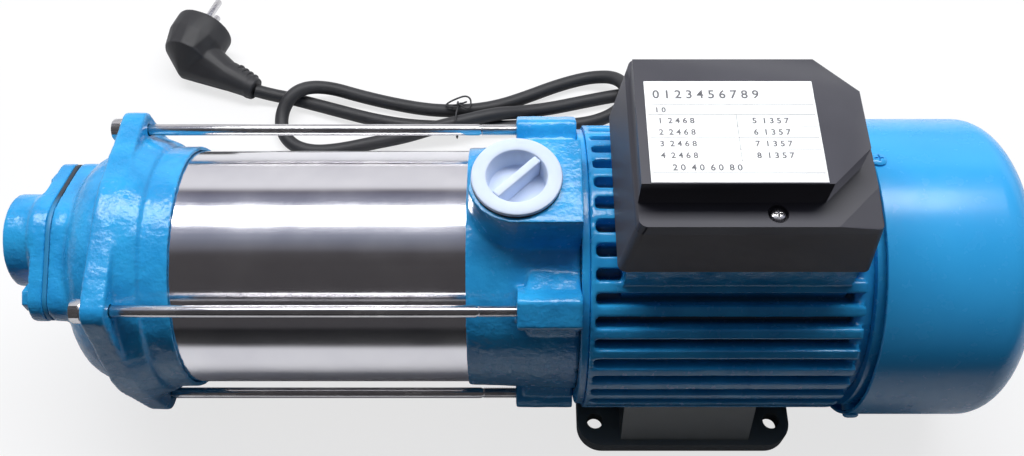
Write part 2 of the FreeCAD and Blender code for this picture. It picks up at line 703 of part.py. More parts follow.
def keep(item, name):
    """Name a finished sub-part made of primitives."""
    item.Label = name
    nodes.append(item)
    return item


def keep_shape(shape, name):
    """Name a sub-part whose shape is a swept or free form."""
    item = doc.addObject("Part::Feature", name)
    item.Label = name
    item.Shape = shape
    item.Placement = Placement()
    nodes.append(item)
    return item


def make_inlet():
    """Oval inlet flange with its threaded stub, gasket and two bolts."""
    flange = new_body("inlet_flange")
    across(flange, FLANGE_FRONT, d.inlet_flange_thickness, oval_drawing())
    across(flange, STUB_END, d.stub_length, circle_at(0, d.inlet_height, d.stub_radius))
    bore_length = d.stub_length + d.inlet_flange_thickness
    across(flange, STUB_END, bore_length, circle_at(0, d.inlet_height, d.inlet_bore_radius), True)
    hole_radius = d.inlet_bolt_radius + d.screw_play

    def bolt_holes(sketch):
        add_circle(sketch, -d.oval_bolt_offset, d.inlet_height, hole_radius)
        add_circle(sketch, d.oval_bolt_offset, d.inlet_height, hole_radius)

    across(flange, FLANGE_FRONT, d.inlet_flange_thickness, bolt_holes, True)

    gasket = new_body("inlet_gasket")
    across(gasket, GASKET_FRONT, d.inlet_gasket_thickness, oval_drawing(-0.4))
    across(gasket, GASKET_FRONT, d.inlet_gasket_thickness, bolt_holes, True)
    water_way = circle_at(0, d.inlet_height, d.neck_bore_radius)
    across(gasket, GASKET_FRONT, d.inlet_gasket_thickness, water_way, True)

    bolts = []
    height = d.shaft_height + d.inlet_height
    head_start = FLANGE_FRONT - d.inlet_bolt_head_height
    shank_length = NECK_FRONT + d.inlet_bolt_grip - FLANGE_FRONT
    for side in (-1, 1):
        offset = d.oval_bolt_offset * side
        bolts.append(joined([
            hexagon(d.inlet_bolt_head, d.inlet_bolt_head_height, head_start, offset, height, ALONG_X),
            rod(d.inlet_bolt_radius, shank_length, FLANGE_FRONT, offset, height, ALONG_X)]))
    keep(group(bolts), "inlet_bolts")


def make_suction_housing():
    """Cast suction housing: bowl, lug plate, rim round the barrel and inlet neck."""
    groove_end = BARREL_START - d.seal_thickness
    body = new_body("suction_housing")
    bend = d.bowl_radius - d.bowl_end_radius + 2
    turned(body, (
        (BOWL_FRONT, 0), (BOWL_FRONT, d.bowl_end_radius, -bend), (LUG_FRONT, d.bowl_radius),
        (LUG_FRONT, d.lug_plate_radius), (LUG_BACK, d.lug_plate_radius),
        (RIM_START, d.rim_radius + 2.2), (RIM_START, d.rim_radius), (RIM_END, d.rim_radius),
        (RIM_END, GROOVE_RADIUS), (groove_end, GROOVE_RADIUS), (groove_end, SPIGOT_RADIUS),
        (STACK_START, SPIGOT_RADIUS), (STACK_START, 0)))
    across(body, NECK_FRONT, d.neck_length, oval_drawing())
    lug = across(body, LUG_FRONT, d.lug_thickness, lug_plate_drawing(d.bowl_end_radius))
    around(body, lug, 4)
    turned(body, (
        (BOWL_FRONT + d.bowl_wall, 0), (BOWL_FRONT + d.bowl_wall, d.bowl_end_radius - d.bowl_wall),
        (LUG_FRONT, SPIGOT_BORE), (STACK_START, SPIGOT_BORE), (STACK_START, 0)), True)
    hole = across(body, LUG_FRONT, d.lug_thickness, circle_at(*rod_place(), d.rod_hole_radius), True)
    around(body, hole, 4)
    water_way = circle_at(0, d.inlet_height, d.neck_bore_radius)
    across(body, NECK_FRONT, d.neck_length, water_way, True)

    def bolt_holes(sketch):
        tapped = d.inlet_bolt_radius + d.plug_thread_gap
        add_circle(sketch, -d.oval_bolt_offset, d.inlet_height, tapped)
        add_circle(sketch, d.oval_bolt_offset, d.inlet_height, tapped)

    across(body, NECK_FRONT, d.inlet_bolt_grip + 1, bolt_holes, True)


def make_barrel():
    """Stainless barrel and the flat seals under its two ends."""
    barrel = new_body("pump_barrel")
    across(barrel, BARREL_START, BARREL_END - BARREL_START, ring(BARREL_BORE, d.barrel_radius))
    seals = []
    for start in (BARREL_START - d.seal_thickness, BARREL_END):
        outside = rod(d.barrel_radius, d.seal_thickness, start, 0, d.shaft_height, ALONG_X)
        inside = rod(BARREL_BORE, d.seal_thickness, start, 0, d.shaft_height, ALONG_X)
        seals.append(less(outside, inside))
    keep(group(seals), "barrel_seals")


def make_tie_rods():
    """Four tie rods with a nut and a washer each."""
    rods, nuts, washers = [], [], []
    start = LUG_FRONT - d.rod_end_length
    end = PUMP_FACE - d.boss_length + d.rod_engagement
    nut_start = LUG_FRONT - d.washer_thickness - d.rod_nut_height
    washer_start = LUG_FRONT - d.washer_thickness
    thread = d.rod_radius + d.plug_thread_gap
    for sign_y in (-1, 1):
        for sign_z in (-1, 1):
            y, z = rod_place(sign_y, sign_z)
            z = z + d.shaft_height
            rods.append(rod(d.rod_radius, end - start, start, y, z, ALONG_X))
            nuts.append(less(
                hexagon(d.rod_nut_radius, d.rod_nut_height, nut_start, y, z, ALONG_X),
                rod(thread, d.rod_nut_height, nut_start, y, z, ALONG_X)))
            washers.append(less(
                rod(d.washer_radius, d.washer_thickness, washer_start, y, z, ALONG_X),
                rod(d.rod_hole_radius, d.washer_thickness, washer_start, y, z, ALONG_X)))
    keep(group(rods), "tie_rods")
    keep(group(nuts), "tie_rod_nuts")
    keep(group(washers), "tie_rod_washers")


def make_diffuser(name, start):
    """Stage diffuser: outer ring, web with an eye, return vanes and their plate."""
    end = start + d.stage_pitch
    web_start = end - d.diffuser_web
    plate_start = start + d.return_plate_offset
    plate_end = plate_start + d.return_plate_thickness
    body = new_body(name)
    turned(body, (
        (start, DIFFUSER_BORE), (start, SPIGOT_RADIUS), (end, SPIGOT_RADIUS),
        (end, d.diffuser_eye_radius), (web_start, d.diffuser_eye_radius), (web_start, DIFFUSER_BORE)))
    vane = across(body, plate_end, web_start - plate_end, rectangle(
        -d.vane_thickness / 2, d.return_inner_radius, d.vane_thickness / 2, d.impeller_radius))
    around(body, vane, d.return_vane_count)
    across(body, plate_start, d.return_plate_thickness, ring(d.return_inner_radius, d.impeller_radius))


def make_impeller(name, start):
    """Closed impeller: hub, two shrouds, vanes, and a neck round its eye."""
    front = start + d.shroud_offset
    vane_start = front + d.shroud_thickness
    vane_end = vane_start + d.vane_width
    neck_start = start - d.impeller_neck_reach
    neck_radius = d.impeller_eye_radius + d.shroud_thickness
    body = new_body(name)
    bore = d.pump_shaft_radius + d.shaft_fit
    turned(body, (
        (start, bore), (start, d.impeller_hub_radius), (vane_end, d.impeller_hub_radius),
        (vane_end, d.impeller_radius), (vane_end + d.shroud_thickness, d.impeller_radius),
        (vane_end + d.shroud_thickness, d.impeller_hub_radius),
        (start + d.stage_pitch, d.impeller_hub_radius), (start + d.stage_pitch, bore)))
    vane = across(body, vane_start, d.vane_width, rectangle(
        0, d.impeller_hub_radius - 1, d.vane_thickness, d.impeller_radius))
    around(body, vane, d.impeller_vane_count)
    turned(body, (
        (neck_start, d.impeller_eye_radius), (neck_start, neck_radius), (front, neck_radius),
        (front, d.impeller_radius), (vane_start, d.impeller_radius),
        (vane_start, d.impeller_eye_radius)))


def make_stages():
    """The stack of stages between the two housings."""
    for number in range(int(d.stage_count.value)):
        start = STACK_START + d.stage_pitch * number
        make_diffuser(f"stage_diffuser_{number + 1}", start)
        make_impeller(f"impeller_{number + 1}", start)


def make_discharge_housing():
    """Cast discharge housing: chamber, bosses for the tie rods and outlet block."""
    groove_end = BARREL_END + d.seal_thickness
    body = new_body("discharge_housing")
    turned(body, (
        (STACK_END, 0), (STACK_END, SPIGOT_RADIUS), (DISCHARGE_START, SPIGOT_RADIUS),
        (DISCHARGE_START, d.discharge_radius), (PUMP_FACE, d.discharge_radius + 2), (PUMP_FACE, 0)))
    boss_start = PUMP_FACE - d.boss_length
    boss = across(body, boss_start, d.boss_length, lug_drawing(d.lantern_radius))
    around(body, boss, 4)

    def port_block(sketch):
        left = PORT_CENTRE
        half = d.port_half_width
        add_outline(sketch, (
            (left, half, half), (left - half, 0, half), (left, -half),
            (PUMP_FACE, -half), (PUMP_FACE, half)))

    upward(body, 0, d.port_height, port_block)
    across(body, DISCHARGE_START, groove_end - DISCHARGE_START,
           ring(SPIGOT_RADIUS, GROOVE_RADIUS), True)
    turned(body, (
        (STACK_END, 0), (STACK_END, SPIGOT_BORE), (DISCHARGE_START, d.discharge_chamber_radius),
        (CHAMBER_END, d.discharge_chamber_radius), (CHAMBER_END, d.seal_seat_radius),
        (SEAL_WALL_END, d.seal_seat_radius), (SEAL_WALL_END, d.lantern_radius),
        (PUMP_FACE, d.lantern_radius), (PUMP_FACE, 0)), True)
    hole = across(body, boss_start, d.rod_engagement + 1,
                  circle_at(*rod_place(), d.rod_radius + d.plug_thread_gap), True)
    around(body, hole, 4)
    upward(body, d.port_height - d.port_thread_depth, d.port_thread_depth,
           circle_at(PORT_CENTRE, 0, d.port_bore_radius), True)
    water_start = d.discharge_chamber_radius - 4
    upward(body, water_start, d.port_height - water_start,
           circle_at(PORT_CENTRE, 0, d.port_water_radius), True)


def make_outlet_plug():
    """Screw plug of the outlet, with a recess and a grip bar, and its washer."""
    washer_start = d.shaft_height + d.port_height
    flange_start = washer_start + d.plug_washer_thickness
    flange_end = flange_start + d.plug_flange_thickness
    washer = less(
        rod(d.plug_flange_radius, d.plug_washer_thickness, PORT_CENTRE, 0, washer_start),
        rod(d.port_bore_radius + d.screw_play, d.plug_washer_thickness, PORT_CENTRE, 0, washer_start))
    keep(washer, "outlet_plug_washer")

    shank_radius = d.port_bore_radius - d.plug_thread_gap
    shank_start = flange_start - d.plug_shank_length
    recess_start = flange_end - d.plug_recess_depth
    recess_radius = d.plug_recess_radius
    hollow = less(
        joined([
            rod(d.plug_flange_radius, d.plug_flange_thickness, PORT_CENTRE, 0, flange_start),
            rod(shank_radius, d.plug_shank_length, PORT_CENTRE, 0, shank_start)]),
        rod(recess_radius, d.plug_recess_depth, PORT_CENTRE, 0, recess_start))
    diagonal = Rotation(Vector(0, 0, 1), 45)
    step = math.cos(QUARTER)
    reach = recess_radius + 0.2
    half_width = d.plug_grip_width / 2
    grip = block(reach * 2, d.plug_grip_width, d.plug_recess_depth, 0, 0, 0)
    place(grip, PORT_CENTRE - (reach - half_width) * step, -(reach + half_width) * step,
          recess_start, diagonal)
    keep(joined([hollow, grip]), "outlet_plug")


def make_seal():
    """Mechanical seal: the ring in the housing and the head on the shaft."""
    seat_start = SEAL_WALL_END - d.seal_seat_thickness
    seat = new_body("seal_seat")
    across(seat, seat_start, d.seal_seat_thickness,
           ring(d.seal_seat_bore, d.seal_seat_radius - d.shaft_fit))
    head = new_body("seal_head")
    head_start = seat_start - d.seal_head_length
    bore = d.pump_shaft_radius + d.shaft_fit
    across(head, head_start, d.seal_head_length - d.ball_play, ring(bore, d.seal_head_radius))


def make_shaft():
    """One shaft through pump and motor, and the nut that holds the impellers."""
    nose = STACK_START - d.shaft_nose_length
    pump_end = FRONT_BEARING_START - 2
    journal = d.front_bearing_bore - d.shaft_fit
    rear_journal = d.rear_bearing_bore - d.shaft_fit
    body = new_body("shaft")
    turned(body, (
        (nose, 0), (nose, d.pump_shaft_radius), (pump_end, d.pump_shaft_radius), (pump_end, journal),
        (FRONT_BEARING_END, journal), (FRONT_BEARING_END, d.rotor_shaft_radius),
        (REAR_BEARING_START, d.rotor_shaft_radius), (REAR_BEARING_START, rear_journal),
        (REAR_BEARING_END, rear_journal), (REAR_BEARING_END, d.fan_shaft_radius),
        (FAN_END + 2, d.fan_shaft_radius), (FAN_END + 2, 0)))
    nut = new_body("impeller_nut")

    def flats(sketch):
        radius = d.impeller_nut_radius
        turns = [math.radians(60 * number) for number in range(6)]
        add_outline(sketch, [(radius * math.cos(turn), radius * math.sin(turn)) for turn in turns])

    nut_start = STACK_START - d.impeller_nut_length
    across(nut, nut_start, d.impeller_nut_length, flats)
    across(nut, nut_start, d.impeller_nut_length,
           circle_at(0, 0, d.pump_shaft_radius + d.shaft_fit), True)


def make_bearing(side, start, width, bore, outside):
    """Ball bearing: outer ring, inner ring, balls and cage, each a node."""
    middle = start + width / 2
    pitch = (bore + outside) / 2
    inner_face = bore + d.race_wall
    outer_face = outside - d.race_wall
    ball = (outer_face - inner_face) * 0.68
    groove = ball + d.ball_play
    depth = outer_face - pitch
    half = root(groove * groove - depth * depth)
    outer = new_body(f"{side}_bearing_outer")
    turned(outer, (
        (start, outer_face), (start, outside), (start + width, outside), (start + width, outer_face),
        (middle + half, outer_face, groove), (middle - half, outer_face)))
    inner = new_body(f"{side}_bearing_inner")
    turned(inner, (
        (start, bore), (start, inner_face), (middle - half, inner_face, groove),
        (middle + half, inner_face), (start + width, inner_face), (start + width, bore)))

    balls, pockets = [], []
    count = int(d.ball_count.value)
    for number in range(count):
        turn = 2 * math.pi * number / count
        spot = (middle, pitch * math.sin(turn), d.shaft_height + pitch * math.cos(turn))
        balls.append(primitive("Sphere", {"Radius": ball}, *spot))
        pockets.append(primitive("Sphere", {"Radius": groove}, *spot))
    keep(group(balls), f"{side}_bearing_balls")
    half_cage = groove + d.cage_rim
    cage_start = middle - half_cage
    band = less(
        rod(pitch + d.cage_half_wall, half_cage * 2, cage_start, 0, d.shaft_height, ALONG_X),
        rod(pitch - d.cage_half_wall, half_cage * 2, cage_start, 0, d.shaft_height, ALONG_X))
    keep(less(band, joined(pockets)), f"{side}_bearing_cage")


def make_brackets():
    """The two end brackets of the motor, each with a bearing hub."""
    front = new_body("motor_front_bracket")
    plug_start = PUMP_FACE - d.bracket_spigot_length
    plug_radius = d.lantern_radius - d.spigot_play
    hub_end = HOUSING_START + d.bracket_hub_length
    front_bore = d.front_bearing_radius + d.shaft_fit
    rear_bore = d.rear_bearing_radius + d.shaft_fit
    turned(front, (
        (plug_start, d.bracket_shaft_hole), (plug_start, plug_radius), (PUMP_FACE, plug_radius),
        (PUMP_FACE, BRACKET_RADIUS), (HOUSING_START, BRACKET_RADIUS),
        (HOUSING_START, HOUSING_SPIGOT), (HOUSING_START + 6, HOUSING_SPIGOT),
        (HOUSING_START + 6, HOUSING_SPIGOT - 5), (HOUSING_START, HOUSING_SPIGOT - 5),
        (HOUSING_START, d.bracket_hub_radius), (hub_end, d.bracket_hub_radius),
        (hub_end, front_bore), (HOUSING_START, front_bore),
        (HOUSING_START, d.bracket_shaft_hole)))
    rear = new_body("motor_rear_bracket")
    hub_start = REAR_BEARING_START
    turned(rear, (
        (hub_start, rear_bore), (hub_start, d.bracket_hub_radius - 3),
        (HOUSING_END, d.bracket_hub_radius - 3), (HOUSING_END, HOUSING_SPIGOT - 5),
        (HOUSING_END - 6, HOUSING_SPIGOT - 5), (HOUSING_END - 6, HOUSING_SPIGOT),
        (HOUSING_END, HOUSING_SPIGOT), (HOUSING_END, REAR_BRACKET_RADIUS),
        (REAR_BRACKET_END, REAR_BRACKET_RADIUS), (REAR_BRACKET_END, d.rear_shaft_hole),
        (REAR_BEARING_END, d.rear_shaft_hole), (REAR_BEARING_END, rear_bore)))
    for turn in screw_turns():
        outline = radial_strip(turn, REAR_BRACKET_RADIUS - 8, SCREW_LUG_RADIUS, 6.0)
        across(rear, COVER_START, d.cover_lap, outline)
    for turn in screw_turns():
        hole = radial_strip(turn, REAR_BRACKET_RADIUS - 5, SCREW_LUG_RADIUS, d.cover_screw_radius)
        across(rear, cover_screw_place() - d.cover_screw_radius, d.cover_screw_radius * 2, hole, True)


def cover_screw_place():
    """Where the fan cover's screws stand along the shaft."""
    return COVER_START + d.cover_lap / 2


def screw_turns():
    """Turns of the three cover screws from the top, in radians."""
    return [math.radians(d.cover_screw_angle.value + 120 * number) for number in range(3)]


def radial_strip(turn, inner, outer, half_width):
    """A drawing of a strip that runs outwards at a turn from the top."""
    def corner(reach, side):
        across_y = reach * math.sin(turn) + side * math.cos(turn)
        up_z = reach * math.cos(turn) - side * math.sin(turn)
        return across_y, up_z

    half_width = as_size(half_width)
    return lambda sketch: add_outline(sketch, (
        corner(inner, -half_width), corner(inner, half_width),
        corner(outer, half_width), corner(outer, -half_width)))


def make_housing():
    """Finned motor housing with the pad of the terminal box and the foot seat."""
    body = new_body("motor_housing")
    turned(body, (
        (HOUSING_START, 0), (HOUSING_START, FIN_TIP),
        (HOUSING_START + d.front_collar, FIN_TIP),
        (HOUSING_START + d.front_collar, FIN_ROOT),
        (FIN_END - 4, FIN_ROOT), (FIN_END - 4, END_RING_RADIUS),
        (HOUSING_END, END_RING_RADIUS), (HOUSING_END, 0)))
    fin_start = HOUSING_START + d.front_collar - 1
    fin = across(body, fin_start, FIN_END - fin_start, rectangle(
        -d.fin_width / 2, FIN_ROOT - 2, d.fin_width / 2, FIN_TIP))
    around(body, fin, d.fin_count)
    half_pad = d.box_width / 2 - 1
    across(body, d.box_start + d.seat_inset, d.box_length - d.seat_inset * 2, rectangle(
        -half_pad, HOUSING_BORE - 10, half_pad, BOX_BOTTOM))
    half_seat = d.pedestal_width / 2
    across(body, -d.pedestal_length / 2, d.pedestal_length, rectangle(
        -half_seat, MOTOR_SEAT, half_seat, -HOUSING_BORE))
    under = FIN_TIP + d.spigot_play
    across(body, -d.pedestal_length / 2, d.pedestal_length, rectangle(
        -half_seat, -under, half_seat, MOTOR_SEAT), True)
    across(body, HOUSING_START, d.housing_length, circle_at(0, 0, HOUSING_BORE), True)
    upward(body, MOTOR_SEAT, d.foot_screw_reach + 1, screw_holes(d.foot_screw_radius), True)
    upward(body, HOUSING_BORE - 3, BOX_BOTTOM - HOUSING_BORE + 3,
           circle_at(STATOR_START - 4, 0, d.wire_hole_radius), True)


def screw_holes(radius):
    """A drawing of the four foot screws' holes."""
    def draw(sketch):
        for side_x in (-0.5, 0.5):
            for side_y in (-0.5, 0.5):
                x = d.foot_screw_length_pitch * side_x
                y = d.foot_screw_width_pitch * side_y
                add_circle(sketch, x, y, radius + d.plug_thread_gap)
    return draw


def make_motor_core():
    """Stator stack with slots, its winding, and the rotor."""
    stator = new_body("stator_core")
    fit = HOUSING_BORE - d.shaft_fit
    across(stator, STATOR_START, d.stator_length, ring(STATOR_BORE, fit))
    slot = across(stator, STATOR_START, d.stator_length, rectangle(
        -d.slot_width / 2, SLOT_INNER, d.slot_width / 2, SLOT_OUTER), True)
    around(stator, slot, d.slot_count)

    winding = new_body("stator_windings")
    wire_inner = SLOT_INNER + d.slot_play
    wire_outer = SLOT_OUTER - d.slot_play
    half_wire = d.slot_width / 2 - d.slot_play
    front_start = STATOR_START - d.winding_overhang
    rear_start = STATOR_END + d.slot_play
    end_turn = d.winding_overhang - d.slot_play
    across(winding, front_start, end_turn, ring(wire_inner, wire_outer))
    bar_start = front_start + end_turn
    bar = across(winding, bar_start, rear_start - bar_start, rectangle(
        -half_wire, wire_inner + 0.5, half_wire, wire_outer - 0.5))
    around(winding, bar, d.slot_count)
    across(winding, rear_start, end_turn, ring(wire_inner, wire_outer))

    rotor = new_body("rotor_core")
    bore = d.rotor_shaft_radius + d.shaft_fit
    across(rotor, STATOR_START, d.stator_length, ring(bore, ROTOR_RADIUS))


def make_fan():
    """Cooling fan: hub, disc and straight blades."""
    body = new_body("cooling_fan")
    bore = d.fan_shaft_radius + d.shaft_fit
    disc_end = FAN_START + d.fan_disc_thickness
    turned(body, (
        (FAN_START, bore), (FAN_START, FAN_RADIUS), (disc_end, FAN_RADIUS),
        (disc_end, d.fan_hub_radius), (FAN_END, d.fan_hub_radius), (FAN_END, bore)))
    half = d.fan_blade_thickness / 2
    blade = across(body, disc_end, d.fan_length - d.fan_disc_thickness, rectangle(
        -half, d.fan_hub_radius - 1, half, FAN_RADIUS))
    around(body, blade, d.fan_blade_count)


def make_fan_cover():
    """Sheet metal fan cover with a slotted end, and its three screws."""
    body = new_body("fan_cover")
    wall = d.cover_wall
    bend = root(d.cover_shoulder * d.cover_shoulder
                + (COVER_RADIUS - COVER_END_RADIUS) * (COVER_RADIUS - COVER_END_RADIUS)) * 0.85
    turned(body, (
        (COVER_START, COVER_BORE), (COVER_START, COVER_RADIUS),
        (COVER_STRAIGHT_END, COVER_RADIUS, -bend), (COVER_SHOULDER_END, COVER_END_RADIUS),
        (COVER_END, d.grille_inner_radius), (COVER_END, 0), (COVER_END - wall, 0),
        (COVER_END - wall, d.grille_inner_radius), (COVER_SHOULDER_END - wall, COVER_END_RADIUS - 1, bend),
        (COVER_STRAIGHT_END - wall, COVER_BORE)))
    half = d.grille_slot_width / 2
    slot_start = COVER_SHOULDER_END - wall - 3
    slot = across(body, slot_start, COVER_END + 1 - slot_start, rectangle(
        -half, d.grille_inner_radius + 2, half, d.grille_outer_radius), True)
    around(body, slot, d.grille_slot_count)
    hole_radius = d.cover_screw_radius + d.plug_thread_gap
    for turn in screw_turns():
        strip = radial_strip(turn, COVER_BORE - 1, COVER_RADIUS + 1, hole_radius)
        across(body, cover_screw_place() - hole_radius, hole_radius * 2, strip, True)

    screws = []
    for turn in screw_turns():
        rotation = Rotation(Vector(1, 0, 0), -math.degrees(turn))
        reach = REAR_BRACKET_RADIUS - 4
        shank = rod(d.cover_screw_radius, COVER_RADIUS - reach, cover_screw_place(),
                    reach * math.sin(turn), d.shaft_height + reach * math.cos(turn), rotation)
        head = cone(d.cover_screw_head, d.cover_screw_head * 0.6, 2.0, cover_screw_place(),
                    COVER_RADIUS * math.sin(turn),
                    d.shaft_height + COVER_RADIUS * math.cos(turn), rotation)
        screws.append(joined([shank, head]))
    keep(group(screws), "fan_cover_screws")


def make_foot():
    """Foot: plate with four holes, sloped saddle, motor seat and hidden pockets."""
    body = new_body("motor_foot")
    low = -d.shaft_height
    half_x, half_y = d.foot_length / 2, d.foot_width / 2
    corner = d.foot_corner_radius

    def plate(sketch):
        add_outline(sketch, (
            (corner - half_x, -half_y), (half_x - corner, -half_y, corner),
            (half_x, corner - half_y), (half_x, half_y - corner, corner),
            (half_x - corner, half_y), (corner - half_x, half_y, corner),
            (-half_x, half_y - corner), (-half_x, corner - half_y, corner)))

    upward(body, low, d.foot_plate, plate)
    top_half = half_y - d.saddle_lean
    saddle_start = -d.saddle_length / 2

    def saddle(sketch):
        add_outline(sketch, (
            (-half_y, low), (half_y, low), (top_half, low + d.saddle_top),
            (-top_half, low + d.saddle_top)))

    across(body, saddle_start, d.saddle_length, saddle)
    across(body, -half_x - 1, d.foot_length + 2,
           circle_at(0, 0, FIN_TIP + d.saddle_play), True)
    half_seat = d.pedestal_width / 2
    across(body, -d.pedestal_length / 2, d.pedestal_length, rectangle(
        -half_seat, low + 1, half_seat, MOTOR_SEAT))

    def holes(sketch):
        for side_x in (-0.5, 0.5):
            for side_y in (-0.5, 0.5):
                add_circle(sketch, d.foot_hole_length_pitch * side_x,
                           FOOT_HOLE_PITCH * side_y, d.foot_hole_radius)

    upward(body, low, d.foot_plate, holes, True)

    def pockets(sketch):
        half = d.foot_pocket_length / 2
        outer = half_y - d.foot_pocket_inset
        inner = outer - d.foot_pocket_width
        rectangle(-half, inner, half, outer)(sketch)
        rectangle(-half, -outer, half, -inner)(sketch)

    upward(body, low, d.foot_pocket_depth, pockets, True)
    head_sink = d.foot_screw_head_height + d.screw_play
    upward(body, low, head_sink, screw_holes(d.foot_screw_head + d.screw_play), True)
    upward(body, low + head_sink, d.pedestal_height, screw_holes(d.foot_screw_radius + d.screw_play), True)

    screws = []
    for side_x in (-0.5, 0.5):
        for side_y in (-0.5, 0.5):
            x = d.foot_screw_length_pitch * side_x
            y = d.foot_screw_width_pitch * side_y
            head_top = d.foot_screw_head_height + d.screw_play
            reach = d.pedestal_height + d.foot_screw_reach - head_top
            screws.append(joined([
                rod(d.foot_screw_head, d.foot_screw_head_height, x, y, d.screw_play),
                rod(d.foot_screw_radius, reach, x, y, head_top)]))
    keep(group(screws), "foot_screws")


def lofted(body, start, end, draw_start, draw_end, subtract=False):
    """Straight walls between what two drawings put on two level planes."""
    sketches = []
    for height, draw in ((start, draw_start), (end, draw_end)):
        sketch = new_sketch(body, "XY_Plane", height)
        draw(sketch)
        sketches.append(sketch)
    kind = "PartDesign::SubtractiveLoft" if subtract else "PartDesign::AdditiveLoft"
    feature = body.newObject(kind, f"{body.Name}_lofted")
    feature.Profile = sketches[0]
    feature.Sections = sketches[1:]
    feature.Ruled = True
    return feature


def box_outline(height, inset=0.0):
    """A drawing of the terminal box at a height over the shaft axis: its two ends lean in."""
    share = (height - BOX_BOTTOM) / (BOX_LEDGE - BOX_BOTTOM)
    left = d.box_start + d.box_lean_front * share + inset
    right = BOX_END - d.box_lean_back * share - inset
    half = d.box_width / 2 - inset
    cut = d.box_chamfer - inset * 0.6
    bend = d.box_round

    def draw(sketch):
        add_outline(sketch, (
            (left + bend, -half), (right - cut, -half), (right, cut - half),
            (right, half - cut), (right - cut, half), (left + bend, half, bend),
            (left, half - bend), (left, bend - half, bend)))
    return draw


def plateau_outline(inset=0.0):
    """A drawing of the raised part of the cover in plan."""
    left = d.box_start + d.box_lean_front + inset
    right = BOX_END - d.box_lean_back - d.box_plateau_inset - inset
    half = d.box_plateau_width / 2 - inset
    cut = d.box_plateau_chamfer - inset * 0.6

    def draw(sketch):
        add_outline(sketch, (
            (left, -half), (right - cut, -half), (right, cut - half),
            (right, half - cut), (right - cut, half), (left, half)))
    return draw


def box_screw_circles(radius):
    """A drawing of the two cover screws' circles."""
    def draw(sketch):
        add_circle(sketch, d.box_screw_place, d.box_screw_offset, radius)
        add_circle(sketch, d.box_screw_place, -d.box_screw_offset, radius)
    return draw


def make_box():
    """Terminal box: base with the cord boss, cover, screws and nameplate."""
    base = new_body("terminal_box_base")
    wall = d.box_wall
    lofted(base, BOX_BOTTOM, BOX_SPLIT, box_outline(BOX_BOTTOM), box_outline(BOX_SPLIT))
    floor = BOX_BOTTOM + wall
    lofted(base, floor, BOX_SPLIT, box_outline(floor, wall), box_outline(BOX_SPLIT, wall), True)
    upward(base, BOX_BOTTOM, d.box_base_height, box_screw_circles(d.pillar_radius))
    screw_start = BOX_LEDGE - d.box_screw_sink - d.box_screw_reach
    tapped = d.box_screw_radius + d.plug_thread_gap
    upward(base, screw_start - 1, BOX_SPLIT - screw_start + 1, box_screw_circles(tapped), True)
    upward(base, BOX_BOTTOM, wall, circle_at(STATOR_START - 4, 0, d.wire_hole_radius), True)
    add_gland_boss(base)

    cover = new_body("terminal_box_cover")
    lofted(cover, BOX_SPLIT, BOX_LEDGE, box_outline(BOX_SPLIT), box_outline(BOX_LEDGE))
    upward(cover, BOX_SPLIT, d.box_rim_height + d.box_plateau_height, plateau_outline())
    inner_height = d.box_rim_height + d.box_plateau_height - wall
    upward(cover, BOX_SPLIT, inner_height, plateau_outline(wall), True)
    sink = box_screw_circles(d.box_screw_head + d.screw_play)
    upward(cover, BOX_LEDGE - d.box_screw_sink, d.box_screw_sink, sink, True)
    upward(cover, BOX_SPLIT, d.box_rim_height, box_screw_circles(d.box_screw_radius + d.screw_play), True)

    screws = []
    seat = d.shaft_height + BOX_LEDGE - d.box_screw_sink
    for side in (-1, 1):
        y = d.box_screw_offset * side
        screws.append(joined([
            rod(d.box_screw_head, d.box_screw_head_height, d.box_screw_place, y, seat),
            rod(d.box_screw_radius, d.box_screw_reach, d.box_screw_place, y, seat - d.box_screw_reach)]))
    keep(group(screws), "box_cover_screws")
    top = d.shaft_height + BOX_TOP
    keep(block(d.label_length, d.label_width, d.label_thickness, d.label_start, d.label_front, top),
         "nameplate")


def gland_frame(reach):
    """A place on the cord entry's axis, which leans down from the rear wall."""
    step = math.cos(QUARTER)
    return (d.gland_place, d.box_width / 2 + reach * step,
            d.shaft_height + GLAND_HEIGHT - reach * step)


GLAND_TURN = Rotation(Vector(1, 0, 0), -135)


def add_gland_boss(base):
    """Boss of the cord entry on the box's rear wall."""
    step = math.cos(QUARTER)
    radius, reach = d.gland_boss_radius, d.gland_boss_reach
    half = d.box_width / 2

    def side_view(sketch):
        low, high = GLAND_HEIGHT - reach / step, GLAND_HEIGHT + radius / step
        add_outline(sketch, (
            (half - d.box_wall, low), (half, low),
            (half + (reach + radius) * step, GLAND_HEIGHT + (radius - reach) * step),
            (half, high), (half - d.box_wall, high)))

    across(base, d.gland_place - radius, radius * 2, side_view)


def make_gland():
    """Cord gland: nut and tapered end round the lead."""
    start = gland_frame(d.gland_boss_reach)
    middle = gland_frame(d.gland_boss_reach + d.gland_body_length)
    end_radius = d.cord_radius + d.cord_sheath_gap + 1
    body = joined([
        hexagon(d.gland_body_radius, d.gland_body_length, *start, GLAND_TURN),
        cone(d.gland_cone_radius, end_radius, d.gland_cone_length, *middle, GLAND_TURN)])
    keep(body, "cable_gland")


def make_box_contents():
    """Run capacitor and terminal block on the floor of the box."""
    floor = d.shaft_height + BOX_BOTTOM + d.box_wall
    keep(rod(d.capacitor_radius, d.capacitor_length, d.capacitor_start, d.capacitor_side,
             floor + d.capacitor_radius, ALONG_X), "run_capacitor")
    keep(block(d.terminal_length, d.terminal_width, d.terminal_height,
               d.terminal_start, d.terminal_side, floor), "terminal_block")


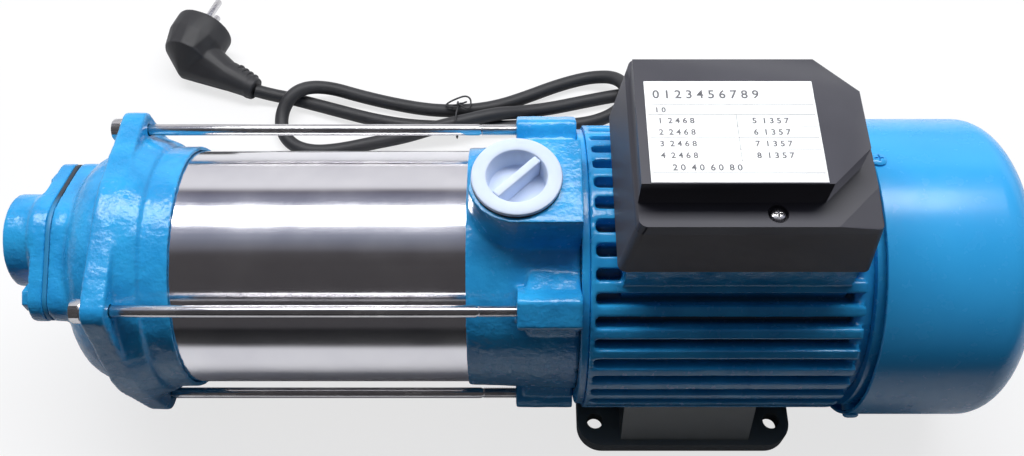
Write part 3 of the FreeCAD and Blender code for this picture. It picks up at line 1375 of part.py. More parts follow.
def tube_along(points, radius):
    """A tube on straight runs joined by tangent arcs. Prints radii and volume."""
    spots = [Vector(*point) for point in points]
    edges, arcs = [], []
    reached = spots[0]
    for before, corner, after in zip(spots, spots[1:], spots[2:]):
        incoming, outgoing = corner - before, after - corner
        half_turn = incoming.getAngle(outgoing) / 2
        trim = 0.45 * min(incoming.Length, outgoing.Length)
        arcs.append(trim / math.tan(half_turn))
        incoming.normalize()
        outgoing.normalize()
        start, end = corner - incoming * trim, corner + outgoing * trim
        inward = (outgoing - incoming).normalize()
        middle = corner + inward * (arcs[-1] / math.cos(half_turn) - arcs[-1])
        edges.append(Part.LineSegment(reached, start).toShape())
        edges.append(Part.Arc(start, middle, end).toShape())
        reached = end
    edges.append(Part.LineSegment(reached, spots[-1]).toShape())
    path = Part.Wire(edges)
    circle = Part.Circle(spots[0], spots[1] - spots[0], radius).toShape()
    tube = path.makePipeShell([Part.Wire([circle])], True, True)
    expected = math.pi * radius ** 2 * path.Length
    print("cord radii", [round(arc, 1) for arc in arcs], "length", round(path.Length, 1),
          "volume ratio", round(tube.Volume / expected, 4))
    return tube


def taper(start, end, start_radius, end_radius):
    """A round taper between two points."""
    way = Vector(*end) - Vector(*start)
    return Part.makeCone(start_radius, end_radius, way.Length, Vector(*start), way)


def make_lead():
    """Mains lead: tube from the gland, hank, short lead, plug, pins and tie."""
    radius = d.cord_radius.value
    gland_end = gland_frame(d.gland_boss_reach + d.gland_body_length + d.gland_cone_length)
    start = tuple(size.value for size in gland_end)
    keep_shape(tube_along((start, *CORD_ROUTE), radius), "power_cord")
    outline = [Vector(x, y, 0) for x, y in HANK_OUTLINE]
    face = Part.Face(Part.makePolygon([*outline, outline[0]]))
    keep_shape(face.extrude(Vector(0, 0, d.hank_height.value)), "cord_hank")
    way = Vector(*LEAD_ROUTE[1]) - Vector(*LEAD_ROUTE[0])
    keep_shape(Part.makeCylinder(radius, way.Length, Vector(*LEAD_ROUTE[0]), way), "plug_lead")

    plug_way = Vector(*PLUG_WAY)
    head = Part.makeCylinder(PLUG_HEAD_RADIUS, PLUG_HEAD_LENGTH, Vector(*PLUG_HEAD), plug_way)
    neck = taper(PLUG_NECK, PLUG_RELIEF, PLUG_NECK_RADIUS, PLUG_RELIEF_RADIUS)
    relief = taper(PLUG_RELIEF, LEAD_ROUTE[1], PLUG_RELIEF_RADIUS, PLUG_EXIT_RADIUS)
    knuckle = Part.makeSphere(PLUG_KNUCKLE_RADIUS, Vector(*PLUG_RELIEF))
    keep_shape(head.fuse([neck, relief, knuckle]).removeSplitter(), "mains_plug")
    pins = []
    for side in (-1, 1):
        foot = Vector(*PLUG_HEAD) + plug_way * PLUG_HEAD_LENGTH + Vector(*PIN_PLACE) * side
        pins.append(Part.makeCylinder(PIN_RADIUS, PIN_LENGTH, foot, plug_way))
    keep_shape(Part.makeCompound(pins), "plug_pins")

    low = Vector(TIE_PLACE[0] - TIE_BAND / 2, TIE_PLACE[1] - TIE_WIDTH / 2, 0)
    height = d.hank_height.value
    outer = Part.makeBox(TIE_BAND, TIE_WIDTH, height + TIE_WIRE, low)
    inner = Part.makeBox(TIE_BAND, TIE_WIDTH - 2 * TIE_WIRE, height, low + Vector(0, TIE_WIRE, 0))
    keep_shape(outer.cut(inner), "cord_tie")


def check_model():
    """Stop if any object failed or a sub-part is not a valid closed shape."""
    for item in doc.Objects:
        if "Invalid" in item.State or "Error" in item.State:
            raise RuntimeError(f"{item.Name} failed: {item.State}")
        if item.TypeId in ("PartDesign::Pocket", "PartDesign::Groove", "PartDesign::SubtractiveLoft"):
            if item.Shape.Volume >= item.BaseFeature.Shape.Volume:
                raise RuntimeError(f"{item.Name} cuts nothing")
    labels = [item.Label for item in nodes]
    if len(set(labels)) != len(labels):
        raise RuntimeError("two sub-parts share a label")
    for item in nodes:
        if item.Shape.isNull() or not item.Shape.isValid():
            raise RuntimeError(f"{item.Label} has no valid shape")


def main():
    """Build every sub-part, check the model and write one file per sub-part."""
    make_inlet()
    make_suction_housing()
    make_barrel()
    make_tie_rods()
    make_stages()
    make_discharge_housing()
    make_outlet_plug()
    make_seal()
    make_shaft()
    make_brackets()
    make_housing()
    make_motor_core()
    make_bearing("front", FRONT_BEARING_START, d.front_bearing_width,
                 d.front_bearing_bore, d.front_bearing_radius)
    make_bearing("rear", REAR_BEARING_START, d.rear_bearing_width,
                 d.rear_bearing_bore, d.rear_bearing_radius)
    make_fan()
    make_fan_cover()
    make_foot()
    make_box()
    make_gland()
    make_box_contents()
    make_lead()
    doc.recompute()
    check_model()
    os.makedirs("parts", exist_ok=True)
    for item in nodes:
        item.Shape.exportStep(f"parts/{item.Label}.step")
        print(item.Label, "solids", len(item.Shape.Solids), "volume", round(item.Shape.Volume))
    print("nodes", len(nodes))


main()
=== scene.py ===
import logging
import math
from dataclasses import dataclass
from enum import Enum
from typing import Iterable, Optional, Sequence

import bmesh
import bpy
from mathutils import Matrix, Vector


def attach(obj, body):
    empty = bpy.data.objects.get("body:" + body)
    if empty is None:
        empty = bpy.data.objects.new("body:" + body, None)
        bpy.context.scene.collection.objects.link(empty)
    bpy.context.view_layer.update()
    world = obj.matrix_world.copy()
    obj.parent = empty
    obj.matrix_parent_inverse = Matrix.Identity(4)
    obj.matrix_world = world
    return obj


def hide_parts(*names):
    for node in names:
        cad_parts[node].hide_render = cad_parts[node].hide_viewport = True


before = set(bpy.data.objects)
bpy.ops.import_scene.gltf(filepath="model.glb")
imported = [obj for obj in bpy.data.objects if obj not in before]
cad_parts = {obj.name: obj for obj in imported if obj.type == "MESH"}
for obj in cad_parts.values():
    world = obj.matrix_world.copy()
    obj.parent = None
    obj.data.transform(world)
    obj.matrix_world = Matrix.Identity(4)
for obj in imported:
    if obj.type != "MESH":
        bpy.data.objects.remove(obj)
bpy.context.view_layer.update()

# Sizes are in millimetres in the pump's own frame, and MM turns them into metres.
MM = 0.001
SHAFT_Z = 80.0
SHAFT_POINT = (0.0, 0.0, SHAFT_Z)
X_AXIS = (1.0, 0.0, 0.0)
Z_AXIS = (0.0, 0.0, 1.0)

# The four tie rods stand on one circle round the shaft, at 45 degrees to the upright.
ROD_STEP = 74.2 * math.cos(math.radians(45))
ROD_SPOTS = [(y, SHAFT_Z + z) for y in (-ROD_STEP, ROD_STEP) for z in (-ROD_STEP, ROD_STEP)]

# Rise of the G1 pipe thread in one turn.
PIPE_PITCH = 2.309

# Radii of the grooves in which the barrel's ends sit.
GROOVE_OUTER = 62.2
GROOVE_INNER = 59.6

Point = Sequence[float]
Profile = Sequence[tuple[float, float]]
Colour = tuple[float, float, float]
Piece = bpy.types.Object
Socket = bpy.types.NodeSocket

log = logging.getLogger("pump")


class Body(Enum):
    """The bodies that the pieces move with."""

    PUMP = "pump"
    PLUG = "plug"
    WASHER = "plug_washer"


# Node boards and finishes


class Board:
    """The node board of one material, or of the world."""

    def __init__(self, name: str, world: bool = False) -> None:
        """Open a new material with one Principled shader, or a new world with no node.

        Args:
            name: name of the material or world.
            world: whether it is a world.
        """
        self.owner = (bpy.data.worlds if world else bpy.data.materials).new(name)
        self.owner.use_nodes = True
        self.tree = self.owner.node_tree
        if world:
            self.tree.nodes.clear()
        else:
            self.shader = self.tree.nodes["Principled BSDF"]
        self.coordinates = self.add("TexCoord").outputs["Generated" if world else "Object"]

    def add(self, kind: str, **settings: object) -> bpy.types.Node:
        """Add a node and set its fields.

        Args:
            kind: the node's type without its ShaderNode prefix.
            **settings: fields of the node.

        Returns:
            The new node.
        """
        node = self.tree.nodes.new("ShaderNode" + kind)
        for name, value in settings.items():
            setattr(node, name, value)
        return node

    def wire(self, source: Socket, node: bpy.types.Node, target: object) -> None:
        """Link a socket to a node's input.

        Args:
            source: the output socket.
            node: the node that takes it.
            target: the input's name or number.
        """
        self.tree.links.new(source, node.inputs[target])

    def set(self, **values: object) -> None:
        """Set sockets of the shader; an underscore in a name stands for a space."""
        for name, value in values.items():
            self.shader.inputs[name.replace("_", " ")].default_value = value

    def stretched(self, scale: Point, place: Point = (0, 0, 0)) -> Socket:
        """The piece's own coordinates, moved and scaled.

        Args:
            scale: factor along each axis.
            place: the point, in metres, that becomes the origin.

        Returns:
            The vector socket.
        """
        shift = self.add("VectorMath", operation="SUBTRACT")
        self.wire(self.coordinates, shift, 0)
        shift.inputs[1].default_value = place
        mapping = self.add("Mapping")
        self.wire(shift.outputs[0], mapping, "Vector")
        mapping.inputs["Scale"].default_value = scale
        return mapping.outputs["Vector"]

    def axis(self, letter: str) -> Socket:
        """One of the coordinates, by its letter."""
        parts = self.add("SeparateXYZ")
        self.wire(self.coordinates, parts, 0)
        return parts.outputs[letter]

    def noise(self, vector: Socket, scale: float, detail: float = 3.0,
              roughness: float = 0.5) -> Socket:
        """A noise pattern.

        Args:
            vector: coordinates.
            scale: waves per metre, roughly.
            detail: octaves.
            roughness: weight of the finer octaves.

        Returns:
            The factor socket.
        """
        node = self.add("TexNoise")
        self.wire(vector, node, "Vector")
        node.inputs["Scale"].default_value = scale
        node.inputs["Detail"].default_value = detail
        node.inputs["Roughness"].default_value = roughness
        return node.outputs["Fac"]

    def ramp(self, factor: Socket, low: float, high: float,
             start: float = 0.0, end: float = 1.0) -> Socket:
        """Spread a factor from one range over another, held at both ends.

        Args:
            factor: the socket to spread.
            low: input that gives start.
            high: input that gives end.
            start: output at low.
            end: output at high.

        Returns:
            The result socket.
        """
        node = self.add("MapRange", clamp=True)
        self.wire(factor, node, "Value")
        for name, value in (("From Min", low), ("From Max", high), ("To Min", start), ("To Max", end)):
            node.inputs[name].default_value = value
        return node.outputs["Result"]

    def combine(self, operation: str, first: Socket, second: object) -> Socket:
        """Join two factors by arithmetic.

        Args:
            operation: name of the Math operation.
            first: a socket.
            second: a socket or a number.

        Returns:
            The result socket.
        """
        node = self.add("Math", operation=operation)
        self.wire(first, node, 0)
        if isinstance(second, (int, float)):
            node.inputs[1].default_value = second
        else:
            self.wire(second, node, 1)
        return node.outputs[0]

    def blend(self, factor: Socket, first: object, second: object) -> Socket:
        """Mix two colours.

        Args:
            factor: 0 gives the first colour, 1 the second.
            first: a colour or a socket.
            second: a colour or a socket.

        Returns:
            The colour socket.
        """
        node = self.add("Mix", data_type="RGBA")
        self.wire(factor, node, 0)
        for number, colour in ((6, first), (7, second)):
            if isinstance(colour, Socket):
                self.wire(colour, node, number)
            else:
                node.inputs[number].default_value = (*colour, 1.0)
        return node.outputs[2]

    def mix(self, factor: object, first: bpy.types.Node, second: bpy.types.Node) -> bpy.types.Node:
        """Mix two shaders.

        Args:
            factor: a share or a socket; 0 gives the first shader, 1 the second.
            first: a shader node.
            second: a shader node.

        Returns:
            The mixing node.
        """
        node = self.add("MixShader")
        if isinstance(factor, float):
            node.inputs[0].default_value = factor
        else:
            self.wire(factor, node, 0)
        self.wire(first.outputs[0], node, 1)
        self.wire(second.outputs[0], node, 2)
        return node

    def colour(self, socket: Socket) -> None:
        """Give the shader its colour from a pattern."""
        self.wire(socket, self.shader, "Base Color")

    def roughness(self, socket: Socket) -> None:
        """Give the shader its roughness from a pattern."""
        self.wire(socket, self.shader, "Roughness")

    def bumps(self, *layers: tuple[Socket, float, float]) -> None:
        """Stack bump layers under the shader.

        Args:
            *layers: height socket, strength and depth in millimetres, coarse to fine.
        """
        before = None
        for height, strength, depth in layers:
            node = self.add("Bump")
            self.wire(height, node, "Height")
            node.inputs["Strength"].default_value = strength
            node.inputs["Distance"].default_value = depth * MM
            if before is not None:
                self.wire(before, node, "Normal")
            before = node.outputs["Normal"]
        self.wire(before, self.shader, "Normal")


@dataclass(frozen=True)
class CastPaint:
    """Thick gloss paint over a rough casting."""

    name: str = "cast_paint"
    face: Colour = (0.030, 0.395, 0.80)
    pooled: Colour = (0.020, 0.310, 0.68)
    gloss: float = 0.20
    lump_depth: float = 0.16
    grain_depth: float = 0.05
    # slot_floor, slot_fade and the dark colour below darken the floors between the fins: partly thinner paint,
    # partly painted shade.
    slot_floor: float = 0.0
    slot_fade: float = 3.4
    thin_paint_and_shade: Colour = (0.026, 0.085, 0.150)

    def make(self) -> bpy.types.Material:
        """Build the material; where slot_floor is the radius of the floors between the fins, these floors
        darken, partly thinner paint and partly painted shade.
        """
        board = Board(self.name)
        own = board.coordinates
        clouds = board.noise(own, 55.0, 3.0)
        paint = board.blend(board.ramp(clouds, 0.38, 0.66), self.pooled, self.face)
        # Painted shade with thinner paint: the colour darkens towards the floors between the fins.
        if self.slot_floor:
            radius = board.add("VectorMath", operation="LENGTH")
            across = board.stretched((0.0, 1.0, 1.0), place=(0.0, 0.0, SHAFT_Z * MM))
            board.wire(across, radius, 0)
            low, high = self.slot_floor * MM, (self.slot_floor + self.slot_fade) * MM
            paint = board.blend(board.ramp(radius.outputs["Value"], low, high), self.thin_paint_and_shade, paint)
        board.colour(paint)
        board.roughness(board.ramp(board.noise(own, 260.0, 2.0), 0.3, 0.7,
                                   self.gloss - 0.05, self.gloss + 0.09))
        lumps = board.noise(own, 190.0, 2.0, 0.55)
        grain = board.noise(own, 620.0, 2.0, 0.6)
        board.bumps((lumps, 0.55, self.lump_depth * 6), (grain, 0.5, self.grain_depth * 6))
        board.set(Specular_IOR_Level=0.45, Coat_Weight=0.12, Coat_Roughness=0.08)
        return board.owner


@dataclass(frozen=True)
class SheetPaint:
    """Smooth gloss paint on sheet metal."""

    name: str = "sheet_paint"
    face: Colour = (0.034, 0.390, 0.81)
    thin: Colour = (0.028, 0.360, 0.77)
    gloss: float = 0.24

    def make(self) -> bpy.types.Material:
        """Build the material."""
        board = Board(self.name)
        own = board.coordinates
        board.colour(board.blend(board.ramp(board.noise(own, 24.0), 0.35, 0.65), self.thin, self.face))
        board.roughness(board.ramp(board.noise(own, 140.0), 0.3, 0.7, self.gloss - 0.03, self.gloss + 0.05))
        board.bumps((board.noise(own, 38.0, 1.0), 0.25, 0.5), (board.noise(own, 420.0, 1.0), 0.18, 0.12))
        board.set(Specular_IOR_Level=0.45, Coat_Weight=0.06, Coat_Roughness=0.12)
        return board.owner


@dataclass(frozen=True)
class Steel:
    """Bare or plated steel with fine lines along one axis."""

    name: str
    face: Colour
    dull: Colour
    gloss: float
    line_scale: tuple[float, float, float] = (4.0, 900.0, 900.0)
    line_depth: float = 0.01
    wave_depth: float = 0.0
    spread: float = 0.05

    def make(self) -> bpy.types.Material:
        """Build the material."""
        board = Board(self.name)
        lines = board.noise(board.stretched(self.line_scale), 1.0, 4.0, 0.6)
        smudge = board.noise(board.coordinates, 42.0, 3.0)
        board.colour(board.blend(board.ramp(smudge, 0.35, 0.7), self.dull, self.face))
        worn = board.combine("ADD", board.ramp(lines, 0.3, 0.7, 0.0, self.spread),
                             board.ramp(smudge, 0.3, 0.7, self.gloss, self.gloss + self.spread))
        board.roughness(worn)
        layers = [(lines, 0.35, self.line_depth)]
        if self.wave_depth:
            long_waves = board.noise(board.stretched((7.0, 30.0, 30.0)), 1.0, 1.0)
            layers.insert(0, (long_waves, 0.5, self.wave_depth))
        board.bumps(*layers)
        board.set(Metallic=1.0)
        return board.owner


@dataclass(frozen=True)
class Moulding:
    """Moulded plastic or rubber with a fine spark-eroded grain."""

    name: str
    face: Colour
    worn: Colour
    gloss: float
    grain_scale: float = 1500.0
    grain_depth: float = 0.03
    subsurface: float = 0.0
    shine: float = 0.5

    def make(self) -> bpy.types.Material:
        """Build the material."""
        board = Board(self.name)
        own = board.coordinates
        patches = board.noise(own, 36.0, 4.0)
        board.colour(board.blend(board.ramp(patches, 0.4, 0.72), self.face, self.worn))
        grain = board.noise(own, self.grain_scale, 2.0)
        board.roughness(board.ramp(patches, 0.3, 0.7, self.gloss, self.gloss + 0.08))
        board.bumps((board.noise(own, 60.0, 1.0), 0.15, 0.3), (grain, 0.35, self.grain_depth))
        board.set(Specular_IOR_Level=self.shine)
        if self.subsurface:
            board.set(Subsurface_Weight=self.subsurface, Subsurface_Scale=0.004,
                      Subsurface_Radius=(0.8, 0.9, 1.0))
        return board.owner


@dataclass(frozen=True)
class Laminations:
    """Stacked sheet steel with an edge line for each sheet."""

    name: str = "laminations"
    face: Colour = (0.10, 0.10, 0.11)
    gap: Colour = (0.03, 0.03, 0.035)

    def make(self) -> bpy.types.Material:
        """Build the material."""
        board = Board(self.name)
        wave = board.add("TexWave", wave_type="BANDS", bands_direction="X")
        board.wire(board.coordinates, wave, "Vector")
        wave.inputs["Scale"].default_value = 320.0
        sheets = wave.outputs["Fac"]
        board.colour(board.blend(sheets, self.gap, self.face))
        board.roughness(board.ramp(board.noise(board.coordinates, 200.0), 0.3, 0.7, 0.4, 0.6))
        board.bumps((sheets, 0.5, 0.1))
        board.set(Metallic=0.8)
        return board.owner


@dataclass(frozen=True)
class WireBundle:
    """Varnished copper wire."""

    name: str = "copper_wire"
    face: Colour = (0.62, 0.26, 0.10)
    varnish: Colour = (0.30, 0.10, 0.03)

    def make(self) -> bpy.types.Material:
        """Build the material."""
        board = Board(self.name)
        wave = board.add("TexWave", wave_type="RINGS", rings_direction="X")
        board.wire(board.stretched((1, 1, 1), place=(0, 0, SHAFT_Z * MM)), wave, "Vector")
        wave.inputs["Scale"].default_value = 300.0
        wave.inputs["Distortion"].default_value = 2.0
        wires = wave.outputs["Fac"]
        board.colour(board.blend(wires, self.varnish, self.face))
        board.bumps((wires, 0.6, 0.4))
        board.set(Metallic=0.6, Roughness=0.3, Coat_Weight=0.5)
        return board.owner


@dataclass(frozen=True)
class PaintedEdge:
    """Gasket sheet with paint over its edge, bare towards the back."""

    name: str = "gasket_edge"
    paint: Colour = (0.022, 0.240, 0.480)
    bare: Colour = (0.030, 0.036, 0.048)
    border: float = 10.0
    fade: float = 5.0

    def make(self) -> bpy.types.Material:
        """Build the material."""
        board = Board(self.name)
        low, high = (self.border - self.fade) * MM, (self.border + self.fade) * MM
        board.colour(board.blend(board.ramp(board.axis("Y"), low, high), self.paint, self.bare))
        board.bumps((board.noise(board.coordinates, 900.0, 2.0), 0.4, 0.05))
        board.set(Roughness=0.45)
        return board.owner


class Finishes:
    """Every finish on the pump, each built once."""

    RECIPES = {
        "cast": CastPaint(),
        # The floors between the fins get thinner paint and painted shade.
        "cast_fins": CastPaint("fin_paint", lump_depth=0.09, grain_depth=0.03, slot_floor=66.4),
        "sheet": SheetPaint(),
        "screw_paint": SheetPaint("screw_paint"),
        "stainless": Steel("stainless_tube", (0.86, 0.85, 0.87), (0.78, 0.77, 0.80), 0.10,
                           line_scale=(3.0, 500.0, 500.0), line_depth=0.006, wave_depth=0.5, spread=0.04),
        "zinc": Steel("zinc_plate", (0.78, 0.77, 0.76), (0.60, 0.59, 0.60), 0.16, spread=0.08),
        "ground": Steel("ground_steel", (0.62, 0.62, 0.64), (0.50, 0.50, 0.52), 0.22),
        "laminations": Laminations(),
        "copper": WireBundle(),
        "box": Moulding("box_plastic", (0.054, 0.054, 0.066), (0.063, 0.063, 0.077), 0.38, shine=0.24),
        # The base's plastic is the cover's black made lighter: painted fill light on the base's walls.
        "box_base_painted_light": Moulding("box_plastic_with_painted_fill_light", (0.092, 0.084, 0.088), (0.102, 0.094, 0.099), 0.42, shine=0.2),
        "foot": Moulding("foot_plastic", (0.108, 0.126, 0.122), (0.128, 0.148, 0.144), 0.27, shine=0.8),
        "inner": Moulding("hydraulic_plastic", (0.030, 0.028, 0.026), (0.05, 0.047, 0.045), 0.38),
        "plug": Moulding("pale_plastic", (0.60, 0.69, 0.86), (0.66, 0.75, 0.90), 0.38, 900.0, 0.02,
                         subsurface=0.25, shine=0.3),
        "rubber": Moulding("black_rubber", (0.022, 0.022, 0.024), (0.034, 0.034, 0.036), 0.50, 1800.0),
        "gasket": Moulding("gasket_sheet", (0.028, 0.034, 0.045), (0.040, 0.046, 0.058), 0.62, 1100.0, 0.06),
        "gasket_edge": PaintedEdge(),
        "ceramic": Moulding("seal_ceramic", (0.80, 0.78, 0.72), (0.84, 0.82, 0.77), 0.14, 2000.0, 0.005),
        "capacitor": Moulding("capacitor_case", (0.80, 0.80, 0.78), (0.85, 0.85, 0.83), 0.30),
        "ink": Moulding("plate_ink", (0.10, 0.10, 0.11), (0.14, 0.14, 0.15), 0.5),
        "plate": Moulding("plate_enamel", (0.93, 0.95, 0.95), (0.97, 0.98, 0.98), 0.28, 700.0, 0.01),
    }

    def __init__(self) -> None:
        """Start with no material built."""
        self.made: dict[str, bpy.types.Material] = {}

    def get(self, name: str) -> bpy.types.Material:
        """The material of a finish, built on first use.

        Args:
            name: key in RECIPES.

        Returns:
            The material.
        """
        if name not in self.made:
            self.made[name] = self.RECIPES[name].make()
        return self.made[name]


FINISHES = Finishes()


# Modelling


class Bench:
    """Modelling operators, used as by hand on one piece at a time."""

    @staticmethod
    def deselect() -> None:
        """Leave edit mode and clear the selection."""
        if bpy.context.object and bpy.context.object.mode != "OBJECT":
            bpy.ops.object.mode_set(mode="OBJECT")
        bpy.ops.object.select_all(action="DESELECT")

    @classmethod
    def take(cls, *pieces: Piece) -> None:
        """Select these pieces alone, the first one active."""
        cls.deselect()
        for piece in pieces:
            piece.select_set(True)
        bpy.context.view_layer.objects.active = pieces[0]

    @classmethod
    def settle(cls, piece: Piece) -> Piece:
        """Move a piece's place, turn and scale into its mesh."""
        cls.take(piece)
        bpy.ops.object.transform_apply(location=True, rotation=True, scale=True)
        return piece

    @classmethod
    def bar(cls, radius: float, start: Point, end: Point, sides: int = 64,
            end_radius: Optional[float] = None) -> Piece:
        """A round bar or taper between two points.

        Args:
            radius: radius at the start.
            start: first end.
            end: second end.
            sides: faces round it.
            end_radius: radius at the end, if it tapers.

        Returns:
            The piece.
        """
        cls.deselect()
        low, high = Vector(start) * MM, Vector(end) * MM
        way = high - low
        turn = way.to_track_quat("Z", "Y").to_euler()
        end_radius = radius if end_radius is None else end_radius
        bpy.ops.mesh.primitive_cone_add(vertices=sides, radius1=radius * MM, radius2=end_radius * MM,
                                        depth=way.length, location=(low + high) / 2, rotation=turn)
        return cls.settle(bpy.context.object)

    @classmethod
    def block(cls, low: Point, high: Point) -> Piece:
        """A block between two corners."""
        cls.deselect()
        first, last = Vector(low) * MM, Vector(high) * MM
        bpy.ops.mesh.primitive_cube_add(size=1, location=(first + last) / 2, scale=last - first)
        return cls.settle(bpy.context.object)

    @classmethod
    def lathe(cls, profile: Profile, steps: int = 128, closed: bool = True, centre: Point = SHAFT_POINT,
              axis: Point = X_AXIS, out: Point = Z_AXIS) -> Piece:
        """Draw a profile by extruding one vertex along it, and spin it.

        Args:
            profile: (along, radius) pairs.
            steps: steps of the spin.
            closed: whether the last point joins the first.
            centre: a point on the axis, from which along is measured.
            axis: direction of the axis.
            out: direction in which the radius is drawn.

        Returns:
            The piece.
        """
        cls.deselect()
        along, outward, base = Vector(axis), Vector(out), Vector(centre) * MM
        spots = [base + along * (x * MM) + outward * (r * MM) for x, r in profile]
        bpy.ops.mesh.primitive_plane_add(size=0.001, location=(0, 0, 0))
        piece = bpy.context.object
        bpy.ops.object.mode_set(mode="EDIT")
        bpy.ops.mesh.select_all(action="SELECT")
        bpy.ops.mesh.merge(type="CENTER")
        bpy.ops.transform.translate(value=spots[0])
        for before, spot in zip(spots, spots[1:]):
            bpy.ops.mesh.extrude_vertices_move(TRANSFORM_OT_translate={"value": spot - before})
        if closed:
            mesh = bmesh.from_edit_mesh(piece.data)
            mesh.verts.ensure_lookup_table()
            for vertex in mesh.verts:
                vertex.select = vertex.index in (0, len(mesh.verts) - 1)
            bpy.ops.mesh.edge_face_add()
        bpy.ops.mesh.select_all(action="SELECT")
        bpy.ops.mesh.spin(steps=steps, angle=2 * math.pi, center=base, axis=along)
        cls.tidy_selection()
        bpy.ops.object.mode_set(mode="OBJECT")
        return piece

    @staticmethod
    def tidy_selection() -> None:
        """Merge doubles and turn all faces outwards, in edit mode."""
        bpy.ops.mesh.select_all(action="SELECT")
        bpy.ops.mesh.remove_doubles(threshold=1e-6)
        bpy.ops.mesh.normals_make_consistent(inside=False)

    @classmethod
    def hull(cls, *pieces: Piece) -> Piece:
        """Stretch one skin over several pieces."""
        piece = cls.join(*pieces)
        bpy.ops.object.mode_set(mode="EDIT")
        bpy.ops.mesh.select_all(action="SELECT")
        bpy.ops.mesh.convex_hull()
        bpy.ops.object.mode_set(mode="OBJECT")
        return piece

    @classmethod
    def join(cls, *pieces: Piece) -> Piece:
        """Join pieces into one object, as separate shells."""
        cls.take(*pieces)
        if len(pieces) > 1:
            bpy.ops.object.join()
        return bpy.context.object

    @classmethod
    def apply(cls, piece: Piece) -> Piece:
        """Apply every modifier of a piece."""
        cls.take(piece)
        for modifier in list(piece.modifiers):
            bpy.ops.object.modifier_apply(modifier=modifier.name)
        return piece

    @classmethod
    def bevel(cls, piece: Piece, width: float, segments: int = 2,
              angle: float = 35.0) -> Piece:
        """Round the edges sharper than an angle."""
        modifier = piece.modifiers.new("Edges", "BEVEL")
        modifier.width = width * MM
        modifier.segments = segments
        modifier.limit_method = "ANGLE"
        modifier.angle_limit = math.radians(angle)
        modifier.use_clamp_overlap = True
        return cls.apply(piece)

    @classmethod
    def combine(cls, piece: Piece, operation: str, *tools: Piece) -> Piece:
        """Join tools to a piece by a Boolean modifier each, and remove them."""
        for tool in tools:
            modifier = piece.modifiers.new("Combine", "BOOLEAN")
            modifier.operation = operation
            modifier.solver = "EXACT"
            modifier.object = tool
            cls.apply(piece)
            bpy.data.objects.remove(tool)
        return piece

    @classmethod
    def cut(cls, piece: Piece, *tools: Piece) -> Piece:
        """Cut tools out of a piece and remove them."""
        return cls.combine(piece, "DIFFERENCE", *tools)

    @classmethod
    def fuse(cls, piece: Piece, *tools: Piece) -> Piece:
        """Fuse tools with a piece into one skin."""
        return cls.combine(piece, "UNION", *tools)

    @classmethod
    def strand(cls, name: str, points: Sequence[Point], radius: float, roundness: int) -> Piece:
        """A wire or cord along one smooth spline.

        Args:
            name: its name.
            points: control points of the spline.
            radius: radius of its section.
            roundness: resolution of its section.

        Returns:
            The curve object.
        """
        curve = bpy.data.curves.new(name, "CURVE")
        curve.dimensions = "3D"
        spline = curve.splines.new("NURBS")
        spline.points.add(len(points) - 1)
        for spot, point in zip(spline.points, points):
            spot.co = (*(Vector(point) * MM), 1.0)
        spline.order_u = 3
        spline.use_endpoint_u = True
        spline.resolution_u = 8
        curve.bevel_depth = radius * MM
        curve.bevel_resolution = roundness
        curve.use_fill_caps = True
        piece = bpy.data.objects.new(name, curve)
        bpy.context.scene.collection.objects.link(piece)
        return piece

    @classmethod
    def melt(cls, piece: Piece, voxel: float, passes: int, lumps: float = 0.0, size: float = 10.0,
             keep: float = 1.0) -> Piece:
        """Fuse shells into one skin and soften it like a casting.

        Args:
            piece: joined shells.
            voxel: size of the new faces.
            passes: smoothing passes.
            lumps: height of the paint's lumps.
            size: width of the lumps.
            keep: share of the faces that stays.

        Returns:
            The piece.
        """
        remesh = piece.modifiers.new("Fuse", "REMESH")
        remesh.mode = "VOXEL"
        remesh.voxel_size = voxel * MM
        smooth = piece.modifiers.new("Soften", "SMOOTH")
        smooth.factor = 0.5
        smooth.iterations = passes
        if lumps:
            texture = bpy.data.textures.new("lumps", "CLOUDS")
            texture.noise_scale = size * MM
            texture.noise_depth = 1
            wave = piece.modifiers.new("Lumps", "DISPLACE")
            wave.texture = texture
            wave.texture_coords = "LOCAL"
            wave.strength = lumps * MM
            wave.mid_level = 0.5
        if keep < 1.0:
            fewer = piece.modifiers.new("Fewer", "DECIMATE")
            fewer.ratio = keep
        return cls.apply(piece)

    @classmethod
    def turn(cls, piece: Piece, degrees: float, centre: Point, axis: Point) -> Piece:
        """Turn a piece about an axis by the right-hand rule."""
        base = Matrix.Translation(Vector(centre) * MM)
        piece.matrix_world = base @ Matrix.Rotation(math.radians(degrees), 4, Vector(axis)) @ base.inverted()
        return cls.settle(piece)

    @classmethod
    def around(cls, piece: Piece, count: int, centre: Point = SHAFT_POINT,
               axis: Point = X_AXIS, total: float = 360.0) -> Piece:
        """Copy a piece round an axis and join the copies.

        Args:
            piece: the first copy.
            count: number of copies.
            centre: a point on the axis.
            axis: the axis.
            total: degrees that the copies share.

        Returns:
            The joined piece.
        """
        copies = [piece]
        base = Vector(centre) * MM
        for number in range(1, count):
            turn = Matrix.Rotation(math.radians(total * number / count), 4, Vector(axis))
            copy = piece.copy()
            copy.data = piece.data.copy()
            copy.data.transform(Matrix.Translation(base) @ turn @ Matrix.Translation(-base))
            bpy.context.scene.collection.objects.link(copy)
            copies.append(copy)
        return cls.join(*copies)

    @classmethod
    def twin(cls, node: str) -> Piece:
        """A merged copy of a node's mesh, to be dressed in its place."""
        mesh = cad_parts[node].data.copy()
        piece = bpy.data.objects.new(node + "_copy", mesh)
        bpy.context.scene.collection.objects.link(piece)
        cls.take(piece)
        bpy.ops.object.mode_set(mode="EDIT")
        bpy.ops.mesh.select_all(action="SELECT")
        bpy.ops.mesh.remove_doubles(threshold=2e-6)
        bpy.ops.mesh.dissolve_limited(angle_limit=math.radians(1.0))
        bpy.ops.object.mode_set(mode="OBJECT")
        return piece


